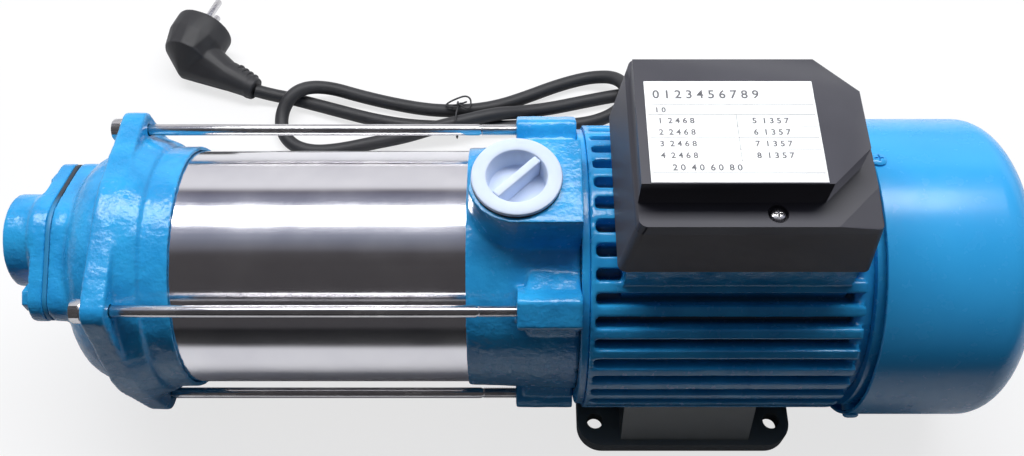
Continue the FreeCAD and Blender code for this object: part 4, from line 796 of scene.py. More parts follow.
def fit(piece: Piece, name: str, finish: str, nodes: Iterable[str] = (),
        body: Body = Body.PUMP, smooth: float = 32.0, flat_faces: bool = False) -> Piece:
    """Name a finished piece, dress it and put it on its body.

    Args:
        piece: the piece.
        name: its name.
        finish: key of the finish.
        nodes: the CAD nodes that it stands for.
        body: the body that it moves with.
        smooth: edges flatter than this many degrees are shaded smooth.
        flat_faces: keep large faces flat up to their rounded edges.

    Returns:
        The piece.
    """
    piece.name = name
    piece.data.name = name
    Bench.take(piece)
    if piece.type == "MESH" and smooth:
        bpy.ops.object.shade_smooth_by_angle(angle=math.radians(smooth))
    if flat_faces:
        weigh = piece.modifiers.new("Flat faces", "WEIGHTED_NORMAL")
        weigh.keep_sharp = True
        Bench.apply(piece)
    piece.data.materials.clear()
    piece.data.materials.append(FINISHES.get(finish))
    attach(piece, body.value)
    nodes = tuple(nodes)
    if nodes:
        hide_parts(*nodes)
    faces = len(getattr(piece.data, "polygons", ()))
    log.info("%s: %s faces, stands for %s", name, faces, ", ".join(nodes) or "nothing")
    return piece


def dress(finish: str, *nodes: str) -> None:
    """Give CAD nodes a finish as they are."""
    for name in nodes:
        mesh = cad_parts[name].data
        mesh.materials.clear()
        mesh.materials.append(FINISHES.get(finish))
    log.info("%s on %s", finish, ", ".join(nodes))


def barrel_groove(start: float, end: float) -> Piece:
    """The tool that cuts a groove for one end of the barrel.

    Args:
        start: where the groove starts along the shaft.
        end: where it ends.

    Returns:
        The tool, a ring.
    """
    seat = Bench.bar(GROOVE_OUTER, (start, 0, SHAFT_Z), (end, 0, SHAFT_Z), 192)
    core = Bench.bar(GROOVE_INNER, (start - 1, 0, SHAFT_Z), (end + 1, 0, SHAFT_Z), 192)
    return Bench.cut(seat, core)


# Castings


@dataclass
class InletPort:
    """Oval inlet flange with its threaded stub, gasket and bolts."""

    axis_z: float = 108.0
    stub_radius: float = 23.8
    bore_radius: float = 15.15
    front: float = -350.0
    flange_front: float = -335.5
    flange_back: float = -328.3
    bolt_offset: float = 33.0
    bolt_radius: float = 6.9
    bolt_head: float = 5.3
    bolt_tip: float = -314.1

    def build(self) -> None:
        """Build flange, gasket and bolts."""
        centre = (0.0, 0.0, self.axis_z)
        flange = Bench.twin("inlet_flange")
        edge, stub = self.flange_front, self.stub_radius
        fillet = Bench.lathe(((edge - 3.0, stub - 1), (edge - 2.4, stub + 0.5), (edge - 0.8, stub + 1.6),
                              (edge + 2, stub + 1.8), (edge + 2, stub - 1)), 96, centre=centre)
        flange = Bench.melt(Bench.join(flange, fillet), voxel=0.8, passes=5, lumps=0.30, size=9.0, keep=0.55)
        beyond = Bench.block((self.front - 4, -60, 50), (self.front, 60, 166))
        Bench.cut(flange, self.thread(centre), beyond)
        fit(flange, "inlet_flange_cast", "cast", ("inlet_flange",), smooth=40)

        gasket = Bench.bevel(Bench.twin("inlet_gasket"), 0.5)
        fit(gasket, "inlet_gasket_sheet", "gasket_edge", ("inlet_gasket",))
        bolts = [self.bolt(side) for side in (-1, 1)]
        fit(Bench.join(*bolts), "inlet_bolts_painted", "cast", ("inlet_bolts",), smooth=40)

    def thread(self, centre: Point) -> Piece:
        """The tool that cuts the pipe thread: a bar with a ridge for each turn."""
        pitch, depth = PIPE_PITCH, 0.75
        mouth = self.bore_radius + 1.6
        profile = [(self.front - 2, 0.0), (self.front - 2, mouth), (self.front, mouth)]
        spot = self.front + 1.6
        while spot < self.flange_back - pitch:
            profile += [(spot, self.bore_radius), (spot + pitch * 0.5, self.bore_radius + depth)]
            spot += pitch
        profile += [(spot, self.bore_radius), (self.flange_back + 2, self.bore_radius),
                    (self.flange_back + 2, 0.0)]
        return Bench.lathe(profile, 96, closed=False, centre=centre)

    def bolt(self, side: int) -> Piece:
        """A hexagon bolt, thick with paint."""
        y = self.bolt_offset * side
        front, back = self.flange_front - self.bolt_head, self.flange_front
        radius = self.bolt_radius
        head = Bench.bar(radius, (front, y, self.axis_z), (back, y, self.axis_z), 6)
        crown = Bench.bar(radius, (front, y, self.axis_z), (back - 1.0, y, self.axis_z), 48, end_radius=9.2)
        Bench.combine(head, "INTERSECT", crown)
        Bench.bevel(head, 0.7, 3)
        shank = Bench.bar(4.0, (back, y, self.axis_z), (self.bolt_tip, y, self.axis_z), 24)
        return Bench.join(head, shank)


@dataclass
class SuctionHousing:
    """Suction bowl, lug plate, rim and neck in one casting."""

    lug_radius: float = 9.0
    plate_radius: float = 70.0
    lug_front: float = -299.0
    lug_back: float = -287.0
    plate_bore: float = 57.0
    rod_hole: float = 3.4
    water_radius: float = 16.0
    water_z: float = 108.0
    neck: tuple[float, float] = (-330.0, -314.0)
    groove: tuple[float, float] = (-278.1, -262.0)

    def build(self) -> None:
        """Fuse the solid with its lug plate and rim fillet, soften it, and cut its holes."""
        housing = Bench.twin("suction_housing")
        housing = Bench.join(housing, self.plate(), self.rim_fillet())
        housing = Bench.melt(housing, voxel=1.05, passes=6, lumps=0.55, size=10.0, keep=0.45)
        Bench.cut(housing, *self.holes())
        fit(housing, "suction_casting", "cast", ("suction_housing",), smooth=40)

    def plate(self) -> Piece:
        """Lug plate: one outline stretched round a disc and the four lugs."""
        front, back = self.lug_front, self.lug_back
        shapes = [Bench.bar(self.plate_radius, (front, 0, SHAFT_Z), (back, 0, SHAFT_Z), 96)]
        shapes += [Bench.bar(self.lug_radius, (front, y, z), (back, y, z), 32) for y, z in ROD_SPOTS]
        plate = Bench.hull(*shapes)
        return Bench.cut(plate, Bench.bar(self.plate_bore, (front - 1, 0, SHAFT_Z), (back + 1, 0, SHAFT_Z), 96))

    def rim_fillet(self) -> Piece:
        """Concave sweep from the plate down to the rim."""
        return Bench.lathe(((-289, 58), (-289, 66.5), (-286.9, 66.0), (-285.6, 64.2), (-283.6, 63.2),
                            (-280, 63.0), (-277.6, 63.6), (-277.2, 58)), 128)

    def holes(self) -> list[Piece]:
        """Tools for the rod holes, the water way and the rim's bore."""
        rods = [Bench.bar(self.rod_hole, (self.lug_front - 1.5, y, z), (self.lug_back + 1.5, y, z), 32)
                for y, z in ROD_SPOTS]
        start, end = self.neck
        water = Bench.bar(self.water_radius, (start, 0, self.water_z), (end, 0, self.water_z), 64)
        return [Bench.join(*rods, water), barrel_groove(*self.groove)]


@dataclass
class Barrel:
    """Drawn stainless barrel."""

    radius: float = 61.9
    wall: float = 2.0
    start: float = -276.6
    end: float = -112.0

    def build(self) -> None:
        """Spin the tube with broken edges."""
        low, high = self.start, self.end
        outer, inner = self.radius, self.radius - self.wall
        tube = Bench.lathe(((low, inner), (low, outer - 0.3), (low + 0.3, outer), (-240, outer), (-194, outer),
                            (-150, outer), (high - 0.3, outer), (high, outer - 0.3), (high, inner)), 256)
        fit(tube, "barrel_tube", "stainless", ("pump_barrel",))


@dataclass
class TieRods:
    """Four tie rods with rolled threads, nuts and washers."""

    radius: float = 3.0
    nut_radius: float = 5.8
    nut_height: float = 5.0
    nut_back: float = -300.2
    washer_back: float = -299.05
    front: float = -306.2
    back: float = -73.0
    thread_front: float = -292.0
    thread_back: float = -113.0
    pitch: float = 1.0

    def rod(self, y: float, z: float) -> Piece:
        """One rod, threaded at both ends."""
        core, crest = self.radius - 0.55, self.radius
        profile = [(self.front, 0.0), (self.front, core - 0.3)]
        for start, end in ((self.front + 0.5, self.thread_front), (self.thread_back, self.back - 0.8)):
            spot = start
            while spot < end:
                profile += [(spot, core), (spot + self.pitch * 0.5, crest)]
                spot += self.pitch
            if start < -200:
                profile += [(end + 0.6, core), (end + 1.4, crest - 0.05), (-200.0, crest - 0.05),
                            (self.thread_back - 1.4, crest - 0.05), (self.thread_back - 0.6, core)]
        profile += [(self.back, core - 0.3), (self.back, 0.0)]
        return Bench.lathe(profile, 28, closed=False, centre=(0, y, z))

    def nut(self, y: float, z: float) -> Piece:
        """A hexagon nut with chamfered corners."""
        back, front = self.nut_back, self.nut_back - self.nut_height
        nut = Bench.bar(self.nut_radius, (front, y, z), (back, y, z), 6)
        crown = Bench.lathe(((front, 0), (front, 5.0), (front + 0.5, 5.9), (back - 0.5, 5.9), (back, 5.0),
                             (back, 0)), 48, closed=False, centre=(0, y, z))
        Bench.combine(nut, "INTERSECT", crown)
        Bench.cut(nut, Bench.bar(3.05, (back - 6, y, z), (back + 1, y, z), 32))
        return Bench.bevel(nut, 0.18, 2)

    def washer(self, y: float, z: float) -> Piece:
        """A flat washer with rounded edges."""
        front, back = self.nut_back, self.washer_back
        return Bench.lathe(((front, 3.4), (front, 6.0), (front + 0.2, 6.2), (back - 0.25, 6.2), (back, 6.0),
                            (back, 3.4)), 40, centre=(0, y, z))

    def build(self) -> None:
        """Build rods, nuts and washers."""
        for make, name, node, smooth in ((self.rod, "tie_rods_threaded", "tie_rods", 50),
                                         (self.nut, "tie_rod_nuts_hex", "tie_rod_nuts", 32),
                                         (self.washer, "tie_rod_washers_flat", "tie_rod_washers", 32)):
            pieces = [make(*spot) for spot in ROD_SPOTS]
            fit(Bench.join(*pieces), name, "zinc", (node,), smooth=smooth)


@dataclass
class DischargeHousing:
    """Discharge casting with its outlet block and four bosses."""

    port_x: float = -95.0
    half: float = 23.5
    face: float = -64.0
    boss_flat: float = 80.4
    web_reach: float = 52.0
    web_sway: float = 14.0
    web_foot: float = 62.0
    web_bore: float = 56.0
    rod_hole: float = 3.05
    port_radius: float = 15.4
    port_floor: float = 146.0
    water_radius: float = 13.0
    recess_radius: float = 50.0
    groove: tuple[float, float] = (-121.0, -110.5)

    def build(self) -> None:
        """Fuse the solid with its webs, soften it, and cut the fits again."""
        housing = Bench.cut(Bench.twin("discharge_housing"), self.flats())
        housing = Bench.join(housing, *self.webs(), *self.skirt())
        housing = Bench.melt(housing, voxel=1.05, passes=6, lumps=0.45, size=10.0, keep=0.45)
        Bench.cut(housing, *self.fits())
        fit(housing, "discharge_casting", "cast", ("discharge_housing",), smooth=40)

    def flats(self) -> Piece:
        """Four tools that flatten the outer side of each boss."""
        block = Bench.block((-98.0, -14.0, SHAFT_Z + self.boss_flat), (self.face + 2.0, 14.0, SHAFT_Z + 92.0))
        return Bench.around(Bench.turn(block, 45.0, SHAFT_POINT, X_AXIS), 4)

    def webs(self) -> list[Piece]:
        """Concave webs that carry each boss."""
        webs = []
        end = self.face - 0.2
        for y in (-1, 1):
            for z in (-1, 1):
                root = (self.web_reach * y, SHAFT_Z + self.web_reach * z)
                near = [Bench.bar(6.4, (-92.0, *root), (end, *root), 32)]
                for sway in (-1, 1):
                    angle = math.radians(45) + sway * math.radians(self.web_sway)
                    spot = (self.web_foot * math.sin(angle) * y, SHAFT_Z + self.web_foot * math.cos(angle) * z)
                    near.append(Bench.bar(3.0, (-88.0, *spot), (end, *spot), 16))
                web = Bench.hull(*near)
                core = Bench.bar(self.web_bore, (-95, 0, SHAFT_Z), (self.face + 1, 0, SHAFT_Z), 64)
                webs.append(Bench.cut(web, core))
        return webs

    def skirt(self) -> list[Piece]:
        """Fillets between the outlet block and the round housing."""
        pieces = []
        for side in (-1, 1):
            corners = ((self.face - 2.2, self.half - 1, 136, 139), (-96, self.half - 1, 136, 139),
                       (self.face - 2.2, self.half + 6.5, 135, 137), (-90, self.half + 5, 135, 137))
            corner = [Bench.bar(2.0, (x, side * y, low), (x, side * y, high), 12)
                      for x, y, low, high in corners]
            pieces.append(Bench.hull(*corner))
        return pieces

    def fits(self) -> list[Piece]:
        """Tools for the port, the rods' holes and the motor's recess."""
        rods = [Bench.bar(self.rod_hole, (-97, y, z), (-72.0, y, z), 32) for y, z in ROD_SPOTS]
        x, floor = self.port_x, self.port_floor
        port = Bench.bar(self.port_radius, (x, 0, floor), (x, 0, 168), 96)
        water = Bench.bar(self.water_radius, (x, 0, 126), (x, 0, floor + 1), 64)
        recess = Bench.bar(self.recess_radius, (-80.0, 0, SHAFT_Z), (self.face + 2, 0, SHAFT_Z), 128)
        return [Bench.join(*rods), port, water, recess, barrel_groove(*self.groove)]


@dataclass
class OutletPlug:
    """Pale screw plug with a recess and a grip bar, and its washer."""

    x: float = -95.0
    low: float = 167.0
    high: float = 169.6
    flange: float = 21.5

    def build(self) -> None:
        """Build plug and washer."""
        centre = (self.x, 0.0, 0.0)
        flange, high = self.flange, self.high
        profile = [(153.0, 0.0), (153.0, 14.2), (153.8, 15.1)]
        spot = 154.4
        while spot < 165.6:
            profile += [(spot, 14.7), (spot + 1.15, 15.33)]
            spot += PIPE_PITCH
        profile += [(166.6, 14.7), (self.low, 15.0), (self.low, flange - 0.5), (self.low + 0.5, flange),
                    (high - 0.9, flange), (high - 0.35, flange - 0.25), (high, flange - 0.9),
                    (high, 15.3), (high - 0.35, 14.6), (high - 1.1, 14.2), (159.6, 13.6), (158.4, 13.2),
                    (158.1, 12.4), (158.1, 0.0)]
        plug = Bench.lathe(profile, 128, closed=False, centre=centre, axis=Z_AXIS, out=X_AXIS)
        grip = Bench.block((self.x - 14.0, -2.1, 157.6), (self.x + 14.0, 2.1, high - 0.5))
        Bench.turn(grip, 45.0, centre, Z_AXIS)
        Bench.bevel(grip, 0.7, 3)
        fit(Bench.join(plug, grip), "outlet_plug_moulded", "plug", ("outlet_plug",), Body.PLUG)
        washer = Bench.lathe(((166.05, 15.7), (166.05, 21.1), (166.3, 21.5), (166.7, 21.5), (166.95, 21.1),
                              (166.95, 15.7)), 96, centre=centre, axis=Z_AXIS, out=X_AXIS)
        fit(washer, "outlet_plug_seal", "gasket", ("outlet_plug_washer",), Body.WASHER)


# Motor


@dataclass
class Motor:
    """Finned motor housing with its two end brackets."""

    front_rounding: float = 0.8
    rear_rounding: float = 0.6

    def build(self) -> None:
        """Build housing and brackets."""
        self.housing()
        for end, rounding, segments in (("front", self.front_rounding, 3), ("rear", self.rear_rounding, 2)):
            node = f"motor_{end}_bracket"
            bracket = Bench.bevel(Bench.twin(node), rounding, segments)
            fit(bracket, f"{end}_bracket_cast", "cast_fins", (node,))

    def housing(self) -> None:
        """Soften the solid like a thickly painted casting."""
        housing = Bench.twin("motor_housing")
        housing = Bench.melt(housing, voxel=1.0, passes=3, lumps=0.25, size=9.0, keep=0.42)
        fit(housing, "motor_housing_cast", "cast_fins", ("motor_housing",))


@dataclass
class FanCover:
    """Drawn sheet cover of the fan with its slotted end and screws."""

    start: float = 78.0
    bend: float = 136.0
    end: float = 159.0
    radius: float = 79.0
    wall: float = 1.5
    screw_place: float = 80.5
    slot_inner: float = 18.0
    slot_outer: float = 46.0
    slot_half: float = 1.7
    steps: int = 12
    slots: int = 24

    def build(self) -> None:
        """Spin the sheet, cut its slots and set its screws."""
        start, end, radius, wall = self.start, self.end, self.radius, self.wall
        outer = [(start, radius - 0.4), (start + 0.3, radius), (self.bend, radius)]
        for number in range(1, self.steps + 1):
            turn = math.radians(90.0 * number / self.steps * 0.82)
            outer.append((self.bend + 20.4 * math.sin(turn), radius - 26.0 * (1 - math.cos(turn))))
        outer += [(157.4, 46.0), (158.6, 30.0), (end, 16.0), (end, 0.0)]
        inner = [(x - wall * (0.2 if x < self.bend + 1 else 1.0), max(r - wall, 0.0))
                 for x, r in reversed(outer[1:])]
        inner[0] = (end - wall, 0.0)
        inner.append((start, 77.9))
        cover = Bench.lathe([*outer, *inner], 192, closed=True)
        slot = Bench.block((end - 9.0, -self.slot_half, SHAFT_Z + self.slot_inner),
                           (end + 2.0, self.slot_half, SHAFT_Z + self.slot_outer))
        Bench.bevel(slot, 1.4, 3)
        Bench.cut(cover, Bench.around(slot, self.slots))
        fit(cover, "fan_cover_sheet", "sheet", ("fan_cover",), smooth=40)
        screws = [self.screw(12.0 + 120.0 * number) for number in range(3)]
        fit(Bench.join(*screws), "fan_cover_screws_slotted", "screw_paint",
            ("fan_cover_screws",))

    def screw(self, degrees: float) -> Piece:
        """One dome-headed screw with a cross slot.

        Args:
            degrees: its turn from the top, towards the back.
        """
        x = self.screw_place
        profile = [(70.0, 0.0), (70.0, 2.0), (79.0, 2.0), (79.0, 4.0), (79.9, 3.9), (80.7, 3.0), (81.0, 1.6),
                   (81.0, 0.0)]
        screw = Bench.lathe(profile, 40, closed=False, centre=(x, 0.0, SHAFT_Z), axis=Z_AXIS, out=X_AXIS)
        cross = [Bench.block((x - a, -b, SHAFT_Z + 80.1), (x + a, b, SHAFT_Z + 82))
                 for a, b in ((2.2, 0.4), (0.4, 2.2))]
        Bench.cut(screw, *cross)
        return Bench.turn(screw, -degrees, SHAFT_POINT, X_AXIS)


@dataclass
class Foot:
    """Moulded foot."""

    rounding: float = 1.6

    def build(self) -> None:
        """Round the solid's edges."""
        foot = Bench.bevel(Bench.twin("motor_foot"), self.rounding, 4, 25)
        fit(foot, "motor_foot_moulded", "foot", ("motor_foot",))


# Terminal box


@dataclass
class TerminalBox:
    """Terminal box base, cover, screws, plate and cord gland."""

    floor: float = 158.0
    split: float = 192.0
    ledge: float = 198.6
    top: float = 213.6
    half_width: float = 45.0
    fan_end: float = 66.0
    lean: float = 5.0
    corner_cut: float = 20.0
    corner_drop: float = 2.4
    base_rounding: float = 1.1
    cover_rounding: float = 1.3
    screw_x: float = 16.0
    screw_y: float = 38.5
    plate_thickness: float = 0.42
    plate_x: tuple[float, float] = (-39.4, 34.6)
    plate_y: tuple[float, float] = (-32.6, 20.4)
    gland_x: float = 12.0
    gland_z: float = 172.0
    gland_radius: float = 10.0
    gland_length: float = 12.0
    gland_ribs: int = 5

    def end(self, height: float) -> float:
        """Where the leaning fan end stands at a height."""
        return self.fan_end - self.lean * (height - self.floor) / (self.ledge - self.floor)

    def corner(self, low: float, high: float, tip: float) -> Piece:
        """The front corner at the fan end, which the solid leaves cut off.

        Args:
            low: height of its lower face.
            high: height of its upper face at the cut.
            tip: height of its upper face at the corner.
        """
        near, cut = self.half_width, self.corner_cut + 0.5
        discs = []
        for height, top in ((low, low), (high, tip)):
            end = self.end(height)
            for radius, x, y, z, sides in ((1.0, end - cut, 1.0 - near, height, 16),
                                           (1.0, end - 1.0, cut - near, height, 16),
                                           (3.0, end - 3.0, 3.0 - near, top, 32)):
                discs.append(Bench.bar(radius, (x, y, z - 0.05), (x, y, z), sides))
        return Bench.hull(*discs)

    def build(self) -> None:
        """Build every piece of the box."""
        base = Bench.fuse(Bench.twin("terminal_box_base"), self.corner(self.floor, self.split, self.split))
        base = Bench.bevel(base, self.base_rounding, 3, 25)
        # The base gets the lighter plastic, which is painted fill light.
        fit(base, "box_base_moulded", "box_base_painted_light", ("terminal_box_base",), flat_faces=True)
        corner = self.corner(self.split, self.ledge, self.ledge - self.corner_drop)
        cover = Bench.fuse(Bench.twin("terminal_box_cover"), corner)
        cover = Bench.bevel(cover, self.cover_rounding, 3, 25)
        fit(cover, "box_cover_moulded", "box", ("terminal_box_cover",), flat_faces=True)
        screws = [self.screw(self.screw_x, self.screw_y * side) for side in (-1, 1)]
        fit(Bench.join(*screws), "box_screws_cross", "zinc", ("box_cover_screws",))
        self.plate()
        self.gland()

    def screw(self, x: float, y: float) -> Piece:
        """One pan-headed screw with a cross recess."""
        seat = self.ledge - 2.15
        profile = [(seat - 12.0, 0.0), (seat - 12.0, 1.9), (seat, 1.9), (seat, 3.4), (seat + 0.9, 3.5),
                   (seat + 1.9, 2.9), (seat + 2.5, 1.7), (seat + 2.6, 0.0)]
        screw = Bench.lathe(profile, 48, closed=False, centre=(x, y, 0.0), axis=Z_AXIS, out=X_AXIS)
        cross = [Bench.block((x - a, y - b, seat + 1.2), (x + a, y + b, seat + 4))
                 for a, b in ((2.0, 0.4), (0.4, 2.0))]
        return Bench.bevel(Bench.cut(screw, *cross), 0.12, 2, 50)

    def plate(self) -> None:
        """Nameplate with ruled lines and plain figures, and no words."""
        (low_x, high_x), (low_y, high_y) = self.plate_x, self.plate_y
        plate = Bench.block((low_x, low_y, self.top), (high_x, high_y, self.top + self.plate_thickness))
        fit(Bench.bevel(plate, 0.2, 2), "nameplate_blank", "plate", ("nameplate",))
        z = self.top + self.plate_thickness + 0.01
        left, right = low_x + 1.0, high_x - 1.0
        rules = [(left, right, y, y + 0.22) for y in (7.6, 2.0, -28.0)]
        rules += [(left, right, y, y + 0.16) for y in (-4.0, -10.0, -16.0, -22.0)]
        lines = [Bench.block((x0, y0, z - 0.05), (x1, y1, z + 0.04)) for x0, x1, y0, y1 in rules]
        lines.append(Bench.block((-0.6, -22.0, z - 0.05), (-0.4, 2.0, z + 0.04)))
        figures = [("0 1 2 3 4 5 6 7 8 9", -36.0, 11.0, 4.6), ("1 0", -35.5, 3.4, 2.8)]
        for row, y in enumerate((-2.4, -8.4, -14.4, -20.4)):
            figures += [(f"{row + 1}  2 4 6 8", -34.5, y, 3.0), (f"{row + 5}  1 3 5 7", 6.0, y, 3.0)]
        figures.append(("2 0  4 0  6 0  8 0", -30.0, -26.6, 3.2))
        lines += [self.figure(*row) for row in figures]
        fit(Bench.join(*lines), "nameplate_figures", "ink", (), smooth=0)

    def figure(self, text: str, x: float, y: float, height: float) -> Piece:
        """A row of plain figures as a thin raised mesh."""
        Bench.deselect()
        height_above = self.top + self.plate_thickness + 0.01
        bpy.ops.object.text_add(location=(x * MM, y * MM, height_above * MM))
        row = bpy.context.object
        row.data.body = text
        row.data.size = height * 1.35 * MM
        row.data.extrude = 0.04 * MM
        row.data.offset = 0.09 * MM
        row.data.resolution_u = 3
        bpy.ops.object.convert(target="MESH")
        return Bench.settle(bpy.context.object)

    def gland(self) -> None:
        """Cord gland: hexagon nut and a ribbed cone round the lead."""
        step = math.cos(math.radians(45))

        def spot(reach: float) -> tuple[float, float, float]:
            return self.gland_x, self.half_width + reach * step, self.gland_z - reach * step

        wide, narrow, length = 8.4, 5.0, self.gland_length
        nut = Bench.bevel(Bench.bar(self.gland_radius, spot(10.0), spot(20.0), 6), 0.8, 2)
        profile = [(0.0, 0.0), (0.0, wide)]
        for ring in range(self.gland_ribs):
            along = 1.0 + ring * 2.1
            radius = wide - (wide - narrow) * along / length
            profile += [(along, radius), (along + 0.9, radius - 0.1), (along + 1.0, radius - 0.9),
                        (along + 1.9, radius - 1.0)]
        profile += [(length - 0.4, narrow), (length, narrow - 0.6), (length, 0.0)]
        cone = Bench.lathe(profile, 48, closed=False, centre=spot(20.0), axis=(0, step, -step), out=X_AXIS)
        fit(Bench.join(nut, cone), "cord_gland_ribbed", "box", ("cable_gland",))


@dataclass
class MainsPlug:
    """Angled two-pin mains plug with its ribbed neck, and the tie of the hank."""

    face: Point = (-311.0, 221.0, 18.6)
    way: Point = (0.342, 0.940, 0.0)
    side: Point = (0.940, -0.342, 0.0)
    elbow: Point = (-317.0, 204.0, 16.5)
    heel: Point = (-318.5, 192.5, 11.5)
    knuckle: Point = (-291.0, 184.5, 10.8)
    exit: Point = (-272.6, 175.0, 8.5)
    pin_offset: Point = (2.9, -1.0, 9.2)
    pin_radius: float = 2.4
    pin_length: float = 19.0
    head_radius: float = 18.3
    back_radius: float = 16.0
    heel_radius: float = 9.6
    knuckle_radius: float = 10.4
    tie_radius: float = 0.6

    def build(self) -> None:
        """Build plug, pins and tie."""
        face, way, side = Vector(self.face), Vector(self.way), Vector(self.side) * 1.7
        heel, knuckle, exit_point = Vector(self.heel), Vector(self.knuckle), Vector(self.exit)
        bend, out = (knuckle - heel).normalized(), (exit_point - knuckle).normalized()
        back_start, back_end = face - way * 28.0, face - way * 27.0
        discs = []
        for shift in (-side, side):
            discs += [Bench.bar(17.6, face + shift - way * 0.8, face + shift, 64),
                      Bench.bar(self.head_radius, face + shift - way * 6.0, face + shift - way * 1.6, 64),
                      Bench.bar(self.head_radius, face + shift - way * 14.0, face + shift - way * 13.0, 18)]
        head = Bench.hull(*discs, Bench.bar(self.back_radius, back_start, back_end, 11))
        wedge = Bench.hull(Bench.bar(14.5, Vector(self.elbow) - bend, self.elbow, 14),
                           Bench.bar(self.heel_radius, heel - bend * 5.0, heel, 12),
                           Bench.bar(self.knuckle_radius, knuckle - bend, knuckle, 16))
        relief = Bench.hull(Bench.bar(self.knuckle_radius, knuckle - out, knuckle, 16),
                            Bench.bar(7.7, exit_point - out * 4.6, exit_point - out * 4.0, 24))
        collar = Bench.bar(8.4, exit_point - out * 4.8, exit_point, 32, end_radius=7.6)
        back = Bench.hull(Bench.bar(self.back_radius, back_start, back_end, 24),
                          Bench.bar(self.heel_radius, heel - bend * 5.0, heel, 12))
        plug = Bench.melt(Bench.join(head, back, wedge, relief, collar), voxel=0.7, passes=8, keep=0.5)
        teeth = [self.tooth(share) for share in (0.17, 0.36, 0.55, 0.74)]
        fit(Bench.join(plug, *teeth), "mains_plug_moulded", "rubber", ("mains_plug",), smooth=38)
        pins = [self.pin(side) for side in (-1, 1)]
        fit(Bench.join(*pins), "plug_pins_round", "zinc", ("plug_pins",))
        self.tie()

    def tooth(self, share: float) -> Piece:
        """One rib of the bend relief, which stands out on the upper side.

        Args:
            share: its place between the knuckle and the lead's exit.
        """
        start, end = Vector(self.knuckle), Vector(self.exit)
        out = (end - start).normalized()
        upper = Vector((-out.y, out.x, 0.0)).normalized()
        radius = 9.8 - 2.7 * share
        spot = start.lerp(end, share) + upper * 1.6
        return Bench.bevel(Bench.bar(radius, spot, spot + out * 1.7, 36), 0.5, 2)

    def pin(self, side: int) -> Piece:
        """One round pin with a rounded tip."""
        centre = Vector(self.face) + Vector(self.pin_offset) * side
        radius, tip = self.pin_radius, self.pin_length
        profile = [(-0.5, 0.0), (-0.5, radius), (tip - 1.4, radius), (tip - 0.5, radius - 0.5), (tip, 0.9),
                   (tip, 0.0)]
        return Bench.lathe(profile, 28, closed=False, centre=centre, axis=self.way, out=Z_AXIS)

    def tie(self) -> None:
        """Thin plastic-coated wire round the hank, its ends twisted to a loop."""
        ring = [(-133.5, 152.0, 0.8), (-134.0, 140.0, 0.9), (-134.0, 136.6, 6.0), (-134.2, 136.6, 15.0),
                (-134.4, 140.5, 20.2), (-134.2, 147.5, 19.6), (-134.0, 154.5, 12.6), (-134.0, 161.0, 10.4),
                (-134.0, 166.0, 7.6), (-134.0, 166.4, 2.6), (-133.6, 162.0, 0.8), (-133.5, 151.0, 0.8)]
        loop = [(-133.6, 158.0, 11.2), (-138.5, 157.6, 11.6), (-142.4, 159.6, 10.6), (-140.0, 163.4, 9.6),
                (-134.0, 167.0, 9.4), (-128.8, 168.6, 10.0), (-125.4, 165.8, 10.8), (-124.8, 160.6, 11.0),
                (-126.4, 156.4, 11.2), (-129.6, 156.8, 12.4), (-132.2, 159.4, 11.8), (-134.2, 161.8, 11.0)]
        twist = [(-128.0, 163.0, 10.6), (-130.4, 160.4, 12.2), (-132.6, 161.6, 10.8), (-134.6, 159.2, 12.0),
                 (-136.8, 160.2, 10.8), (-138.6, 158.4, 11.0)]
        wires = [self.wire(points) for points in (ring, loop, twist)]
        fit(Bench.join(*wires), "hank_tie_wire", "rubber", ("cord_tie",), smooth=50)

    def wire(self, points: Sequence[Point]) -> Piece:
        """A smooth thin wire through the neighbourhood of some points."""
        piece = Bench.strand("wire", points, self.tie_radius, 3)
        Bench.take(piece)
        bpy.ops.object.convert(target="MESH")
        return bpy.context.object


# Studio


